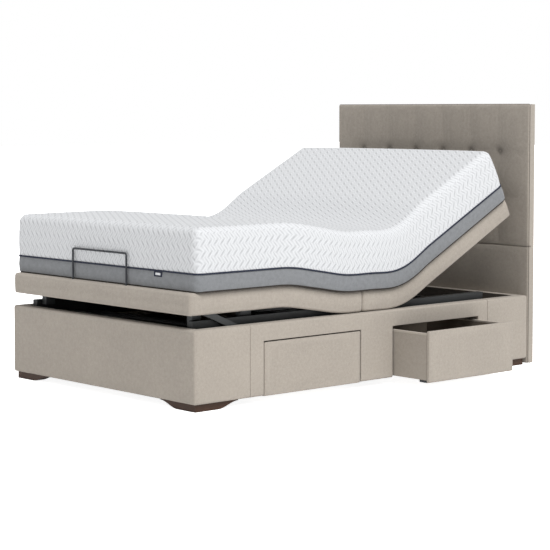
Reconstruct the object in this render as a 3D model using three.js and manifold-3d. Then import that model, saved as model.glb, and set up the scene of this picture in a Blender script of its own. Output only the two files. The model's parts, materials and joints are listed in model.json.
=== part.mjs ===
// Adjustable bed: an upholstered box with four side drawers carries a folding platform in four
// sections, a mattress in four sections, a lifting mechanism and a padded headboard.
// Millimetres. +Z is up, +Y runs from the foot to the head, +X is the drawer side in view.
// The origin is on the floor under the centre foot.
// The deck sections are modelled flat, each from its own hinge line, and tilted by their groups.
import * as THREE from "three";
import { mergeVertices } from "three/addons/utils/BufferGeometryUtils.js";
import { RoundedBoxGeometry } from "three/addons/geometries/RoundedBoxGeometry.js";
import Module from "manifold-3d";

// Whole bed
const BED_WIDTH = 1200;
const BED_LENGTH = 1900;
const GAP = 0.3; // between pieces that are fixed together
const RUNNING = 0.3; // radial clearance of a shaft in its ear

// Box
const FOOT_HEIGHT = 29;
const BOX_TOP = 308;
const WALL = 45;
const BOX_EDGE = 9;
const BOARD = 18;

// Corner feet
const FOOT_INSET = 14;
const FOOT_THICK = 42;
const FOOT_FLAT = 110;
const FOOT_REACH = 210;
const CENTRE_FOOT_RADIUS = 32;

// Drawers
const OPENING_LENGTH = 524;
const OPENING_TOP = 240;
const NOTCH_DROP = 39; // of the actuators' channel below the openings' top
const FOOT_DRAWER_Y = -345;
const HEAD_DRAWER_Y = 362;
const FRONT_GAP = 4;
const FRONT_THICK = 17;
const FRONT_BOTTOM = 27;
const FRONT_TOP = 236;
const TRAY_SIDE_GAP = 6;
const TRAY_WALL = 12;
const TRAY_FLOOR = 8;
const TRAY_BOTTOM = 36;
const TRAY_TOP = 226;
const TRAY_BACK_GAP = 10; // from the actuator channel to the trays
const DRAWER_SHOWN_OPEN = 200;
const LEDGE_WIDTH = 20;
const LEDGE_THICK = 6;

// Frame rails
const RAIL_CLEAR = 20; // from a skirt to a rail, room for the lift prop
const RAIL_WIDTH = 30;
const RAIL_BOTTOM = 258;
const RAIL_TOP = 333;
const RAIL_FOOT_CLEAR = 5;
const RAIL_HEAD_SHORT = 215;
const TUBE = 30;
const CROSS_TUBE_Y = -800;
const EAR_CLEAR = 0.5; // from an ear to the boards beside it
const SHAFT_RADIUS = 8;

// Deck: hinge lines, sections and angles
const HINGE_Z = 334;
const BACK_HINGE_Y = 168;
const LEG_HINGE_Y = -172;
const BACK_ANGLE = 27.5;
const LEG_ANGLE = 9.5;
const BACK_FULL_ANGLE = 60;
const LEG_FULL_ANGLE = 28;
const THIGH_LENGTH = 304;
const FOOT_OVERHANG = 11; // of the flat platform past the foot wall
const HEAD_CLEAR = 20; // from the flat platform to the headboard
const SEAT_SEAM_Y = -58;
const DECK_INSET = 18;
const SKIRT = 23; // how far the cover hangs below the hinge line
const COVER_TOP = 62.5;
const LIP = 36;
const BOARD_BACKOFF = 12; // from a hinge line to the end of a board
const SECTION_GAP = 0.5;

// Mattress
const MATTRESS_INSET = 3;
const MATTRESS_THICK = 246;
const MATTRESS_ROUND = 30;
const MATTRESS_FOOT_SHORT = 22; // behind the retainer bar
const MATTRESS_HEAD_OVER = 4;

// Mechanism
const CRANK = 110;
const CRANK_X = 50;
const CRANK_WIDTH = 20;
const CRANK_BOSS = 26;
const CHEEK = 6;
const CHEEK_CLEAR = 3; // from a rod's eye to the crank's cheek
const CRANK_PLATE_HALF = 40;
const CRANK_PLATE_THICK = 6;
const CRANK_PLATE_START = 14; // from the hinge line
const CRANK_PLATE_SHORT = 34; // of the knee
const BRACE_SHORT = 194; // of the knee
const BRACE_WIDTH = 7;
const PIN_RADIUS = 6;
const SLOT_PLAY = 1.5;
const ROD_RADIUS = 8;
const ROD_EYE_THICK = 12;
const ROD_LENGTH = 190;
const ACTUATOR_SIZE = 60;
const ACTUATOR_LENGTH = 390;
const ACTUATOR_NOSE = 72; // from the actuator's nose to the rod's end eye, shown pose
const MOTOR_RADIUS = 30;
const CHANNEL_CLEAR = 15; // from an actuator to the channel's side
const BEAM_HALF = 90;
const EYE_RIM = 8;
const BORE_SPARE = 10; // behind a drawn-in rod
const CONTROL_BOX = [140, 110, 48];
const CONTROL_BOX_Y = 5;

// Lift props beside the rails
const PROP_Y = -635;
const PROP_Z = 270;
const PROP_ANGLE = 23.6;
const PROP_LENGTH = 244.5;
const PROP_WIDTH = 24;
const PROP_THICK = 16;
const PROP_CLEAR = 2; // from the rail
const PROP_BOSS = 3; // wider than the prop, round its shaft

// Calf frame
const CALF_RAIL_CLEAR = 2;
const CALF_RAIL_HIGH = 19.5;
const POST_LENGTH = 44;
const FOOT_POST_DROP = 70; // below the calf's hinge line
const KNEE_POST_LENGTH = 53;
const KNEE_POST_DROP = 52;
const CALF_RAIL_SHORT = 8; // of the cover's lip
const THIGH_ARM_WIDTH = 20;
const THIGH_ARM_CLEAR = 3;
const FOOT_POST_SETBACK = 81; // from the platform's foot end
const KNEE_POST_SETBACK = 162; // from the knee

// Retainer bar
const BAR_WIDTH = 353;
const BAR_RADIUS = 4;
const BAR_RISE = 124; // above the cover
const BAR_SOCKET = 30;
const BAR_SETBACK = 13; // from the platform's foot end

// Headboard
const HEAD_TOP = 1150;
const HEAD_BOTTOM = 6;
const HEAD_SEAM = 523;
const HEAD_THICK = 39;
const HEAD_BOARD = 22;

const FABRIC = 0xbdb3a8;
const FABRIC_SHADE = 0xb0a699;
const KNIT = 0xe8e9ea;
const STEEL = 0x4a4f55;
const STEEL_LIGHT = 0x7d8790;
const DARK = 0x24262a;
const WOOD = 0x4a2f22;
const BOARD_BROWN = 0x6a5a4c;

const wasm = await Module();
wasm.setup();

const rad = (degrees) => (degrees * Math.PI) / 180;

// --- shapes ---------------------------------------------------------------------------------

function solid(geometry) {
  const source = geometry.index ? geometry.toNonIndexed() : geometry;
  const bare = new THREE.BufferGeometry();
  bare.setAttribute("position", source.getAttribute("position"));
  const merged = mergeVertices(bare, 1e-3);
  const corners = [];
  for (let i = 0; i < merged.index.count; i += 3) {
    const [a, b, c] = [0, 1, 2].map((k) => merged.index.getX(i + k));
    if (a !== b && b !== c && a !== c) corners.push(a, b, c);
  }
  return new wasm.Manifold(
    new wasm.Mesh({
      numProp: 3,
      vertProperties: merged.attributes.position.array,
      triVerts: new Uint32Array(corners),
    }),
  );
}

function block(x0, x1, y0, y1, z0, z1) {
  const shape = new THREE.BoxGeometry(x1 - x0, y1 - y0, z1 - z0);
  return solid(shape.translate((x0 + x1) / 2, (y0 + y1) / 2, (z0 + z1) / 2));
}

function softBlock(x0, x1, y0, y1, z0, z1, radius, segments = 3) {
  const shape = new RoundedBoxGeometry(x1 - x0, y1 - y0, z1 - z0, segments, radius);
  return solid(shape.translate((x0 + x1) / 2, (y0 + y1) / 2, (z0 + z1) / 2));
}

function flatShape(points) {
  return new THREE.Shape(points.map(([u, v]) => new THREE.Vector2(u, v)));
}

// A side outline in (y, z), drawn out along X.
function alongX(points, x0, x1) {
  const shape = new THREE.ExtrudeGeometry(flatShape(points), {
    depth: x1 - x0,
    bevelEnabled: false,
  });
  const turn = new THREE.Matrix4().makeBasis(
    new THREE.Vector3(0, 1, 0),
    new THREE.Vector3(0, 0, 1),
    new THREE.Vector3(1, 0, 0),
  );
  return solid(shape.applyMatrix4(turn).translate(x0, 0, 0));
}

// An end outline in (x, z), drawn out along Y.
function alongY(points, y0, y1) {
  const shape = new THREE.ExtrudeGeometry(flatShape(points), {
    depth: y1 - y0,
    bevelEnabled: false,
  });
  const turn = new THREE.Matrix4().makeBasis(
    new THREE.Vector3(1, 0, 0),
    new THREE.Vector3(0, 0, 1),
    new THREE.Vector3(0, -1, 0),
  );
  return solid(shape.applyMatrix4(turn).translate(0, y1, 0));
}

// A plan outline in (x, y), drawn up along Z.
function alongZ(points, z0, z1) {
  const shape = new THREE.ExtrudeGeometry(flatShape(points), {
    depth: z1 - z0,
    bevelEnabled: false,
  });
  return solid(shape.translate(0, 0, z0));
}

// A round shaft along X.
function shaft(radius, x0, x1, y, z, sides = 24) {
  const shape = new THREE.CylinderGeometry(radius, radius, x1 - x0, sides);
  return solid(shape.rotateZ(Math.PI / 2).translate((x0 + x1) / 2, y, z));
}

function rodAlongY(radius, y0, y1, x, z, sides = 20) {
  const shape = new THREE.CylinderGeometry(radius, radius, y1 - y0, sides);
  return solid(shape.translate(x, (y0 + y1) / 2, z));
}

function post(radius, z0, z1, x, y, sides = 24) {
  const shape = new THREE.CylinderGeometry(radius, radius, z1 - z0, sides);
  return solid(shape.rotateX(Math.PI / 2).translate(x, y, (z0 + z1) / 2));
}

// A straight bar between two points of the (y, z) plane.
function bar(from, to, width, x0, x1) {
  const [dy, dz] = [to[0] - from[0], to[1] - from[1]];
  const length = Math.hypot(dy, dz);
  const [ny, nz] = [(-dz / length) * (width / 2), (dy / length) * (width / 2)];
  return alongX(
    [
      [from[0] - ny, from[1] - nz],
      [to[0] - ny, to[1] - nz],
      [to[0] + ny, to[1] + nz],
      [from[0] + ny, from[1] + nz],
    ],
    x0,
    x1,
  );
}

function union(...solids) {
  return solids.reduce((sum, next) => sum.add(next));
}

function mirrored(shape) {
  return shape.mirror([1, 0, 0]);
}

function addPiece(group, name, shape, colour, metal = 0, rough = 0.9) {
  const { vertProperties, triVerts, numProp } = shape.getMesh();
  const positions = new Float32Array((vertProperties.length / numProp) * 3);
  for (let i = 0; i < positions.length / 3; i += 1) {
    for (let k = 0; k < 3; k += 1) positions[3 * i + k] = vertProperties[numProp * i + k];
  }
  const geometry = new THREE.BufferGeometry();
  geometry.setAttribute("position", new THREE.BufferAttribute(positions, 3));
  geometry.setIndex(new THREE.BufferAttribute(new Uint32Array(triVerts), 1));
  geometry.computeVertexNormals();
  const material = new THREE.MeshStandardMaterial({
    color: colour,
    metalness: metal,
    roughness: rough,
  });
  const mesh = new THREE.Mesh(geometry, material);
  mesh.name = name;
  group.add(mesh);
}

// The same piece on the right (+X) and, mirrored, on the left.
function addPair(group, name, shape, colour, metal, rough) {
  addPiece(group, `${name}_right`, shape, colour, metal, rough);
  addPiece(group, `${name}_left`, mirrored(shape), colour, metal, rough);
}

// --- places that follow from the driving sizes -----------------------------------------------

const halfWidth = BED_WIDTH / 2;
const halfLength = BED_LENGTH / 2;
const deckWidth = BED_WIDTH - 2 * DECK_INSET;
const mattressWidth = BED_WIDTH - 2 * MATTRESS_INSET;
const backLength = halfLength - BACK_HINGE_Y - HEAD_CLEAR;
const calfLength = halfLength + FOOT_OVERHANG + LEG_HINGE_Y - THIGH_LENGTH;
const railOut = deckWidth / 2 - LIP - RAIL_CLEAR;
const railFootY = -(halfLength - WALL - RAIL_FOOT_CLEAR);
const railHeadY = halfLength - RAIL_HEAD_SHORT;
const calfRailOut = railOut - RAIL_WIDTH - CALF_RAIL_CLEAR;
const footPostY = FOOT_POST_SETBACK - calfLength;
const earRadius = BOARD_BACKOFF - EAR_CLEAR;
const channel = CRANK_X + ACTUATOR_SIZE / 2 + CHANNEL_CLEAR;
const trayBackX = channel + TRAY_BACK_GAP;

// --- box ------------------------------------------------------------------------------------

const innerX = halfWidth - WALL;
const innerY = halfLength - WALL;
const boxBottom = FOOT_HEIGHT + GAP;
const drawerYs = [FOOT_DRAWER_Y, HEAD_DRAWER_Y];
const partitionTop = RAIL_BOTTOM - GAP;
const notchFloor = OPENING_TOP - NOTCH_DROP;

function boxEnvelope() {
  return softBlock(
    -halfWidth,
    halfWidth,
    -halfLength,
    halfLength,
    boxBottom,
    BOX_TOP,
    BOX_EDGE,
  );
}

// A long wall with mitred ends and two notches for the drawers, open at the bottom.
function sideWall() {
  const plan = [
    [halfWidth, -halfLength],
    [halfWidth, halfLength],
    [innerX + GAP / 2, innerY],
    [innerX + GAP / 2, -innerY],
  ];
  let wall = alongZ(plan, boxBottom, BOX_TOP).intersect(boxEnvelope());
  for (const y of drawerYs) {
    wall = wall.subtract(
      block(
        innerX - 5,
        halfWidth + 5,
        y - OPENING_LENGTH / 2,
        y + OPENING_LENGTH / 2,
        boxBottom - 5,
        OPENING_TOP,
      ),
    );
  }
  return wall;
}

// An end wall with mitred ends; side is -1 at the foot and 1 at the head.
function endWall(side) {
  const outer = side * halfLength;
  const inner = side * innerY;
  const plan = [
    [-halfWidth + GAP, outer],
    [halfWidth - GAP, outer],
    [innerX - GAP / 2, inner],
    [-innerX + GAP / 2, inner],
  ];
  if (side > 0) plan.reverse();
  return alongZ(plan, boxBottom, BOX_TOP).intersect(boxEnvelope());
}

// A cross board with ledges under the tray edges. It is cut out round the beam and the actuators.
function partition(y, ledgeSide) {
  const reach = innerX - GAP;
  const board = block(-reach, reach, y - BOARD / 2, y + BOARD / 2, boxBottom, partitionTop);
  const beamNotch = block(
    -BEAM_HALF - GAP,
    BEAM_HALF + GAP,
    y - BOARD,
    y + BOARD,
    boxBottom - 5,
    boxBottom + BOARD + GAP,
  );
  const channelNotch = block(
    -channel,
    channel,
    y - BOARD,
    y + BOARD,
    notchFloor,
    partitionTop + 5,
  );
  const faceY = y + (ledgeSide * BOARD) / 2;
  const ledgeTop = TRAY_BOTTOM - GAP;
  const ledge = block(
    channel + 5,
    reach,
    Math.min(faceY - ledgeSide, faceY + ledgeSide * LEDGE_WIDTH),
    Math.max(faceY - ledgeSide, faceY + ledgeSide * LEDGE_WIDTH),
    ledgeTop - LEDGE_THICK,
    ledgeTop,
  );
  return board
    .subtract(beamNotch)
    .subtract(channelNotch)
    .add(ledge)
    .add(mirrored(ledge));
}

function partitionYs() {
  const offset = OPENING_LENGTH / 2 + BOARD / 2 + 1;
  return drawerYs.flatMap((y) => [
    [y - offset, 1],
    [y + offset, -1],
  ]);
}

// A bracket foot: two arms under the corner, flat on the floor and then curved up to the box.
function cornerFoot(sideX, sideY) {
  const curve = [];
  const steps = 6;
  for (let i = 0; i <= steps; i += 1) {
    const t = i / steps;
    const lift = t * t * (3 - 2 * t) * (FOOT_HEIGHT - 4);
    curve.push([FOOT_FLAT + t * (FOOT_REACH - FOOT_FLAT), lift]);
  }
  const outline = [[0, 0], ...curve, [FOOT_REACH, FOOT_HEIGHT], [0, FOOT_HEIGHT]];
  const place = (points, outer, side) =>
    points.map(([run, z]) => [side * (outer - FOOT_INSET - run), z]);
  const outerX = sideX * (halfWidth - FOOT_INSET);
  const outerY = sideY * (halfLength - FOOT_INSET);
  const span = (outer, side) => [
    Math.min(outer, outer - side * FOOT_THICK),
    Math.max(outer, outer - side * FOOT_THICK),
  ];
  const xArm = place(outline, halfWidth, sideX);
  const yArm = place(outline, halfLength, sideY);
  if (sideX > 0) xArm.reverse();
  if (sideY > 0) yArm.reverse();
  return union(
    alongY(xArm, ...span(outerY, sideY)),
    alongX(yArm, ...span(outerX, sideX)),
  );
}

function addBox(bed) {
  const box = new THREE.Group();
  bed.add(box);
  addPair(box, "side_wall", sideWall(), FABRIC);
  addPiece(box, "foot_wall", endWall(-1), FABRIC);
  addPiece(box, "head_wall", endWall(1), FABRIC);
  partitionYs().forEach(([y, ledgeSide], i) => {
    addPiece(box, `partition_${i + 1}`, partition(y, ledgeSide), BOARD_BROWN);
  });
  const beam = block(
    -BEAM_HALF,
    BEAM_HALF,
    -innerY + GAP,
    innerY - GAP,
    boxBottom,
    boxBottom + BOARD,
  );
  addPiece(box, "floor_beam", beam, BOARD_BROWN);
  addPiece(box, "foot_front_right", cornerFoot(1, -1), WOOD, 0, 0.5);
  addPiece(box, "foot_front_left", cornerFoot(-1, -1), WOOD, 0, 0.5);
  addPiece(box, "foot_back_right", cornerFoot(1, 1), WOOD, 0, 0.5);
  addPiece(box, "foot_back_left", cornerFoot(-1, 1), WOOD, 0, 0.5);
  addPiece(box, "foot_centre", post(CENTRE_FOOT_RADIUS, 0, FOOT_HEIGHT, 0, 0), WOOD, 0, 0.5);
}

// --- drawers --------------------------------------------------------------------------------

function drawerFront(y) {
  const half = OPENING_LENGTH / 2 - FRONT_GAP;
  return softBlock(
    halfWidth - FRONT_THICK,
    halfWidth,
    y - half,
    y + half,
    FRONT_BOTTOM,
    FRONT_TOP,
    4,
    2,
  );
}

function drawerTray(y) {
  const half = OPENING_LENGTH / 2 - TRAY_SIDE_GAP;
  const frontX = halfWidth - FRONT_THICK - GAP;
  const outer = block(trayBackX, frontX, y - half, y + half, TRAY_BOTTOM, TRAY_TOP);
  const inner = block(
    trayBackX + TRAY_WALL,
    frontX - TRAY_WALL,
    y - half + TRAY_WALL,
    y + half - TRAY_WALL,
    TRAY_BOTTOM + TRAY_FLOOR,
    TRAY_TOP + 5,
  );
  return outer.subtract(inner);
}

function addDrawer(bed, name, y, side, open) {
  const drawer = new THREE.Group();
  drawer.position.x = side * open;
  bed.add(drawer);
  const turned = (shape) => (side > 0 ? shape : mirrored(shape));
  addPiece(drawer, `${name}_front`, turned(drawerFront(y)), FABRIC);
  addPiece(drawer, `${name}_tray`, turned(drawerTray(y)), FABRIC_SHADE);
}

// --- deck -----------------------------------------------------------------------------------

// How far a section's end leans back at height z above the hinge line.
// fold is positive where the deck folds up into a hollow, negative where it folds down, 0 at a free end.
function leanBack(z, fold) {
  const reach = fold > 0 ? Math.max(0, z) : Math.max(0, -z);
  return reach * Math.tan(rad(Math.abs(fold)));
}

// The side outline of one section between y0 and y1, from height bottom to top.
function sectionOutline(y0, y1, bottom, top, fold0, fold1) {
  const heights = bottom < 0 && top > 0 ? [bottom, 0, top] : [bottom, top];
  const low = heights.map((z) => [y0 + leanBack(z, fold0), z]);
  const high = heights.map((z) => [y1 - leanBack(z, fold1), z]);
  return [...high, ...low.reverse()];
}

const foldBack = BACK_FULL_ANGLE / 2;
const foldLeg = LEG_FULL_ANGLE / 2;

// The padded cover: a lid with skirts all round, open below for the board.
function cover(y0, y1, fold0, fold1, lip0 = 0, lip1 = 0) {
  const half = deckWidth / 2;
  const lid = alongX(sectionOutline(y0, y1, -SKIRT, COVER_TOP, fold0, fold1), -half, half);
  const well = block(
    -half + LIP,
    half - LIP,
    lip0 ? y0 + lip0 : y0 - 60,
    lip1 ? y1 - lip1 : y1 + 60,
    -SKIRT - 5,
    BOARD + GAP,
  );
  return lid.subtract(well);
}

function deckBoard(y0, y1) {
  const half = deckWidth / 2 - LIP - 1;
  return block(-half, half, y0, y1, GAP, BOARD);
}

// A mattress section; a free end is rounded.
function mattress(y0, y1, fold0, fold1) {
  const half = mattressWidth / 2;
  const bottom = COVER_TOP + GAP;
  const top = bottom + MATTRESS_THICK;
  const wedge = alongX(sectionOutline(y0, y1, bottom, top, fold0, fold1), -half, half);
  const spare = 2 * MATTRESS_ROUND;
  const rounded = softBlock(
    -half,
    half,
    fold0 ? y0 - spare : y0,
    fold1 ? y1 + spare : y1,
    bottom,
    top,
    MATTRESS_ROUND,
  );
  return wedge.intersect(rounded);
}

// Shaft, forked crank arm with its pin, and the plate that carries the board.
// away is 1 for the back section and -1 for the legs; middle is half the section's full angle.
function crankShaft(away, middle, x) {
  const pin = [-away * CRANK * Math.sin(rad(middle)), -CRANK * Math.cos(rad(middle))];
  const inner = ROD_EYE_THICK / 2 + CHEEK_CLEAR;
  const brace = away * (THIGH_LENGTH - BRACE_SHORT);
  let crank = shaft(SHAFT_RADIUS, -railOut + 2, railOut - 2, 0, 0);
  for (const side of [-1, 1]) {
    const near = x + side * inner;
    const far = x + side * (inner + CHEEK);
    const [x0, x1] = [Math.min(near, far), Math.max(near, far)];
    crank = union(
      crank,
      bar([0, 0], pin, CRANK_WIDTH, x0, x1),
      shaft(CRANK_BOSS / 2, x0, x1, pin[0], pin[1]),
      bar([brace, -4], [pin[0] / 2, pin[1] / 2], BRACE_WIDTH, x0, x1),
    );
  }
  const plateNear = away * CRANK_PLATE_START;
  const plateFar = away * (THIGH_LENGTH - CRANK_PLATE_SHORT);
  const plate = block(
    x - CRANK_PLATE_HALF,
    x + CRANK_PLATE_HALF,
    Math.min(plateNear, plateFar),
    Math.max(plateNear, plateFar),
    -CRANK_PLATE_THICK,
    0,
  );
  return union(
    crank,
    shaft(PIN_RADIUS, x - inner - CHEEK / 2, x + inner + CHEEK / 2, pin[0], pin[1]),
    plate,
  );
}

function thighArm() {
  const x1 = calfRailOut - RAIL_WIDTH - THIGH_ARM_CLEAR;
  const x0 = x1 - THIGH_ARM_WIDTH;
  const bore = shaft(SHAFT_RADIUS + RUNNING, x0 - 5, x1 + 5, 0, 0);
  return union(
    block(x0, x1, -THIGH_LENGTH, 0, -CALF_RAIL_HIGH, -GAP),
    shaft(earRadius, x0, x1, 0, 0),
    shaft(earRadius, x0, x1, -THIGH_LENGTH, 0),
    shaft(SHAFT_RADIUS, x1 - 1, calfRailOut - 2, -THIGH_LENGTH, 0),
  ).subtract(bore);
}

// A calf rail: an ear on the knee pin, a tube under the board and two stub posts.
function calfRail() {
  const [x0, x1] = [calfRailOut - RAIL_WIDTH, calfRailOut];
  const bore = shaft(SHAFT_RADIUS + RUNNING, x0 - 5, x1 + 5, 0, 0);
  return union(
    block(x0, x1, LIP + CALF_RAIL_SHORT - calfLength, 0, -CALF_RAIL_HIGH, -GAP),
    shaft(earRadius, x0, x1, 0, 0),
    block(x0, x1, footPostY, footPostY + POST_LENGTH, -FOOT_POST_DROP, -GAP),
    block(x0, x1, -KNEE_POST_SETBACK, KNEE_POST_LENGTH - KNEE_POST_SETBACK, -KNEE_POST_DROP, -GAP),
  ).subtract(bore);
}

// The retainer bar at the foot of the mattress, a bent round bar with its legs in the cover.
function barPath(rise, radius, sides, drop) {
  const half = BAR_WIDTH / 2;
  const y = BAR_SETBACK - calfLength;
  const leg = (x) => post(radius, COVER_TOP - drop, COVER_TOP + rise, x, y, sides);
  return [leg(-half), leg(half), half, y];
}

function retainerBar() {
  const [left, right, half, y] = barPath(BAR_RISE, BAR_RADIUS, 12, BAR_SOCKET - 1);
  const top = shaft(BAR_RADIUS, -half, half, y, COVER_TOP + BAR_RISE, 12);
  const bend = new THREE.SphereGeometry(BAR_RADIUS, 12, 8);
  const knobs = [-half, half].map((x) =>
    solid(bend.clone().translate(x, y, COVER_TOP + BAR_RISE)),
  );
  return union(left, right, top, ...knobs);
}

function calfCover() {
  const [left, right] = barPath(1, BAR_RADIUS + GAP, 12, BAR_SOCKET);
  return cover(-calfLength, -SECTION_GAP, 0, -foldLeg, LIP)
    .subtract(left)
    .subtract(right);
}

function addDeck(bed) {
  const seat = new THREE.Group();
  seat.position.set(0, 0, HINGE_Z);
  bed.add(seat);
  const legEnd = LEG_HINGE_Y + SECTION_GAP;
  const backEnd = BACK_HINGE_Y - SECTION_GAP;
  const seatBoard = deckBoard(LEG_HINGE_Y + BOARD_BACKOFF, BACK_HINGE_Y - BOARD_BACKOFF);
  addPiece(seat, "seat_board", seatBoard, BOARD_BROWN);
  const seam = GAP / 2;
  addPiece(seat, "seat_cover_foot", cover(legEnd, SEAT_SEAM_Y - seam, foldLeg, 0), FABRIC);
  addPiece(seat, "seat_cover_head", cover(SEAT_SEAM_Y + seam, backEnd, 0, foldBack), FABRIC);
  addPiece(seat, "mattress_seat", mattress(legEnd, backEnd, foldLeg, foldBack), KNIT);

  const back = new THREE.Group();
  back.position.set(0, BACK_HINGE_Y, HINGE_Z);
  back.rotation.x = rad(BACK_ANGLE);
  bed.add(back);
  addPiece(back, "back_board", deckBoard(BOARD_BACKOFF, backLength - LIP - 1), BOARD_BROWN);
  addPiece(back, "back_cover", cover(SECTION_GAP, backLength, foldBack, 0, 0, LIP), FABRIC);
  addPiece(back, "mattress_back", mattress(SECTION_GAP, backLength + MATTRESS_HEAD_OVER, foldBack, 0), KNIT);
  addPiece(back, "back_crank", crankShaft(1, foldBack, CRANK_X), STEEL, 0.6, 0.4);

  const thigh = new THREE.Group();
  thigh.position.set(0, LEG_HINGE_Y, HINGE_Z);
  thigh.rotation.x = -rad(LEG_ANGLE);
  bed.add(thigh);
  const thighEnd = -THIGH_LENGTH + SECTION_GAP;
  const thighBoard = deckBoard(-THIGH_LENGTH + BOARD_BACKOFF, -BOARD_BACKOFF);
  addPiece(thigh, "thigh_board", thighBoard, BOARD_BROWN);
  addPiece(thigh, "thigh_cover", cover(thighEnd, -SECTION_GAP, -foldLeg, foldLeg), FABRIC);
  addPiece(thigh, "mattress_thigh", mattress(thighEnd, -SECTION_GAP, -foldLeg, foldLeg), KNIT);
  addPiece(thigh, "thigh_crank", crankShaft(-1, foldLeg, -CRANK_X), STEEL, 0.6, 0.4);
  addPair(thigh, "thigh_arm", thighArm(), STEEL, 0.6, 0.4);

  const calf = new THREE.Group();
  calf.position.set(0, -THIGH_LENGTH, 0);
  calf.rotation.x = rad(LEG_ANGLE);
  thigh.add(calf);
  const calfBoard = deckBoard(-calfLength + LIP + 1, -BOARD_BACKOFF);
  addPiece(calf, "calf_board", calfBoard, BOARD_BROWN);
  addPiece(calf, "calf_cover", calfCover(), FABRIC);
  const mattressFoot = MATTRESS_FOOT_SHORT - calfLength;
  addPiece(calf, "mattress_calf", mattress(mattressFoot, -SECTION_GAP, 0, -foldLeg), KNIT);
  addPair(calf, "calf_rail", calfRail(), STEEL_LIGHT, 0.6, 0.4);
  const tieHalf = calfRailOut - RAIL_WIDTH - GAP;
  const tie = block(-tieHalf, tieHalf, footPostY, footPostY + POST_LENGTH, -CALF_RAIL_HIGH, -GAP);
  addPiece(calf, "calf_cross_tube", tie, STEEL, 0.6, 0.4);
  addPiece(calf, "retainer_bar", retainerBar(), DARK, 0.6, 0.4);
}

// --- fixed frame and mechanism --------------------------------------------------------------

// A side rail with ears round the two crank shafts and a bore for the prop shaft.
function frameRail() {
  const [x0, x1] = [railOut - RAIL_WIDTH, railOut];
  let rail = block(x0, x1, railFootY, railHeadY, RAIL_BOTTOM, RAIL_TOP);
  for (const y of [LEG_HINGE_Y, BACK_HINGE_Y]) rail = rail.add(shaft(earRadius, x0, x1, y, HINGE_Z));
  const bores = [
    [LEG_HINGE_Y, HINGE_Z],
    [BACK_HINGE_Y, HINGE_Z],
    [PROP_Y, PROP_Z],
  ];
  for (const [y, z] of bores) {
    rail = rail.subtract(shaft(SHAFT_RADIUS + RUNNING, x0 - 5, x1 + 5, y, z));
  }
  return rail;
}

function crossTube(y) {
  const half = railOut - RAIL_WIDTH - GAP;
  return block(-half, half, y, y + TUBE, RAIL_BOTTOM, RAIL_BOTTOM + TUBE);
}

function prop() {
  const x0 = railOut + PROP_CLEAR;
  const x1 = x0 + PROP_THICK;
  const tip = [
    PROP_Y - PROP_LENGTH * Math.cos(rad(PROP_ANGLE)),
    PROP_Z + PROP_LENGTH * Math.sin(rad(PROP_ANGLE)),
  ];
  return union(
    bar([PROP_Y, PROP_Z], tip, PROP_WIDTH, x0, x1),
    shaft(PROP_WIDTH / 2 + PROP_BOSS, x0, x1, PROP_Y, PROP_Z),
    shaft(PROP_WIDTH / 2, x0, x1, tip[0], tip[1]),
  );
}

// The heights that a crank pin passes through over its whole swing.
function pinHeights(middle) {
  return [HINGE_Z - CRANK, HINGE_Z - CRANK * Math.cos(rad(middle))];
}

// Actuator body: a square tube with a motor under its far end that stands on the floor beam.
function actuatorBody(pinY, away, axisZ, x) {
  const noseY = pinY - away * ACTUATOR_NOSE;
  const tailY = noseY - away * ACTUATOR_LENGTH;
  const motorY = tailY + away * (MOTOR_RADIUS + 6);
  const half = ACTUATOR_SIZE / 2;
  const [y0, y1] = [Math.min(noseY, tailY), Math.max(noseY, tailY)];
  const tube = block(x - half, x + half, y0, y1, axisZ - half, axisZ + half);
  const motor = post(MOTOR_RADIUS, boxBottom + BOARD + GAP, axisZ, x, motorY);
  const deep = noseY - away * (ROD_LENGTH + BORE_SPARE);
  const bore = rodAlongY(
    ROD_RADIUS + RUNNING,
    Math.min(deep, noseY + away * 5),
    Math.max(deep, noseY + away * 5),
    x,
    axisZ,
  );
  return tube.add(motor).subtract(bore);
}

// Push rod with an upright slot at its end for the crank pin.
function pushRod(pinY, away, middle, axisZ, x) {
  const [low, high] = pinHeights(middle);
  const reach = PIN_RADIUS + SLOT_PLAY;
  const half = ROD_EYE_THICK / 2;
  const eyeHalf = reach + EYE_RIM;
  const eye = block(x - half, x + half, pinY - eyeHalf, pinY + eyeHalf, low - eyeHalf, high + eyeHalf);
  const slot = block(x - half - 5, x + half + 5, pinY - reach, pinY + reach, low - reach, high + reach);
  const near = pinY - away * (eyeHalf - 2);
  const far = pinY - away * (eyeHalf + ROD_LENGTH);
  const rod = rodAlongY(ROD_RADIUS, Math.min(near, far), Math.max(near, far), x, axisZ);
  return eye.subtract(slot).add(rod);
}

// Where the rod's eye stands, on the straight line that its slide follows.
function eyeSpot(hingeY, away, middle, angle) {
  const perDegree = (CRANK * Math.sin(rad(middle))) / middle;
  return hingeY + away * perDegree * (angle - middle);
}

function controlBox() {
  const [width, depth, height] = CONTROL_BOX;
  const base = boxBottom + BOARD + GAP;
  const [y0, y1] = [CONTROL_BOX_Y - depth / 2, CONTROL_BOX_Y + depth / 2];
  return softBlock(-width / 2, width / 2, y0, y1, base, base + height, 6, 2);
}

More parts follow.
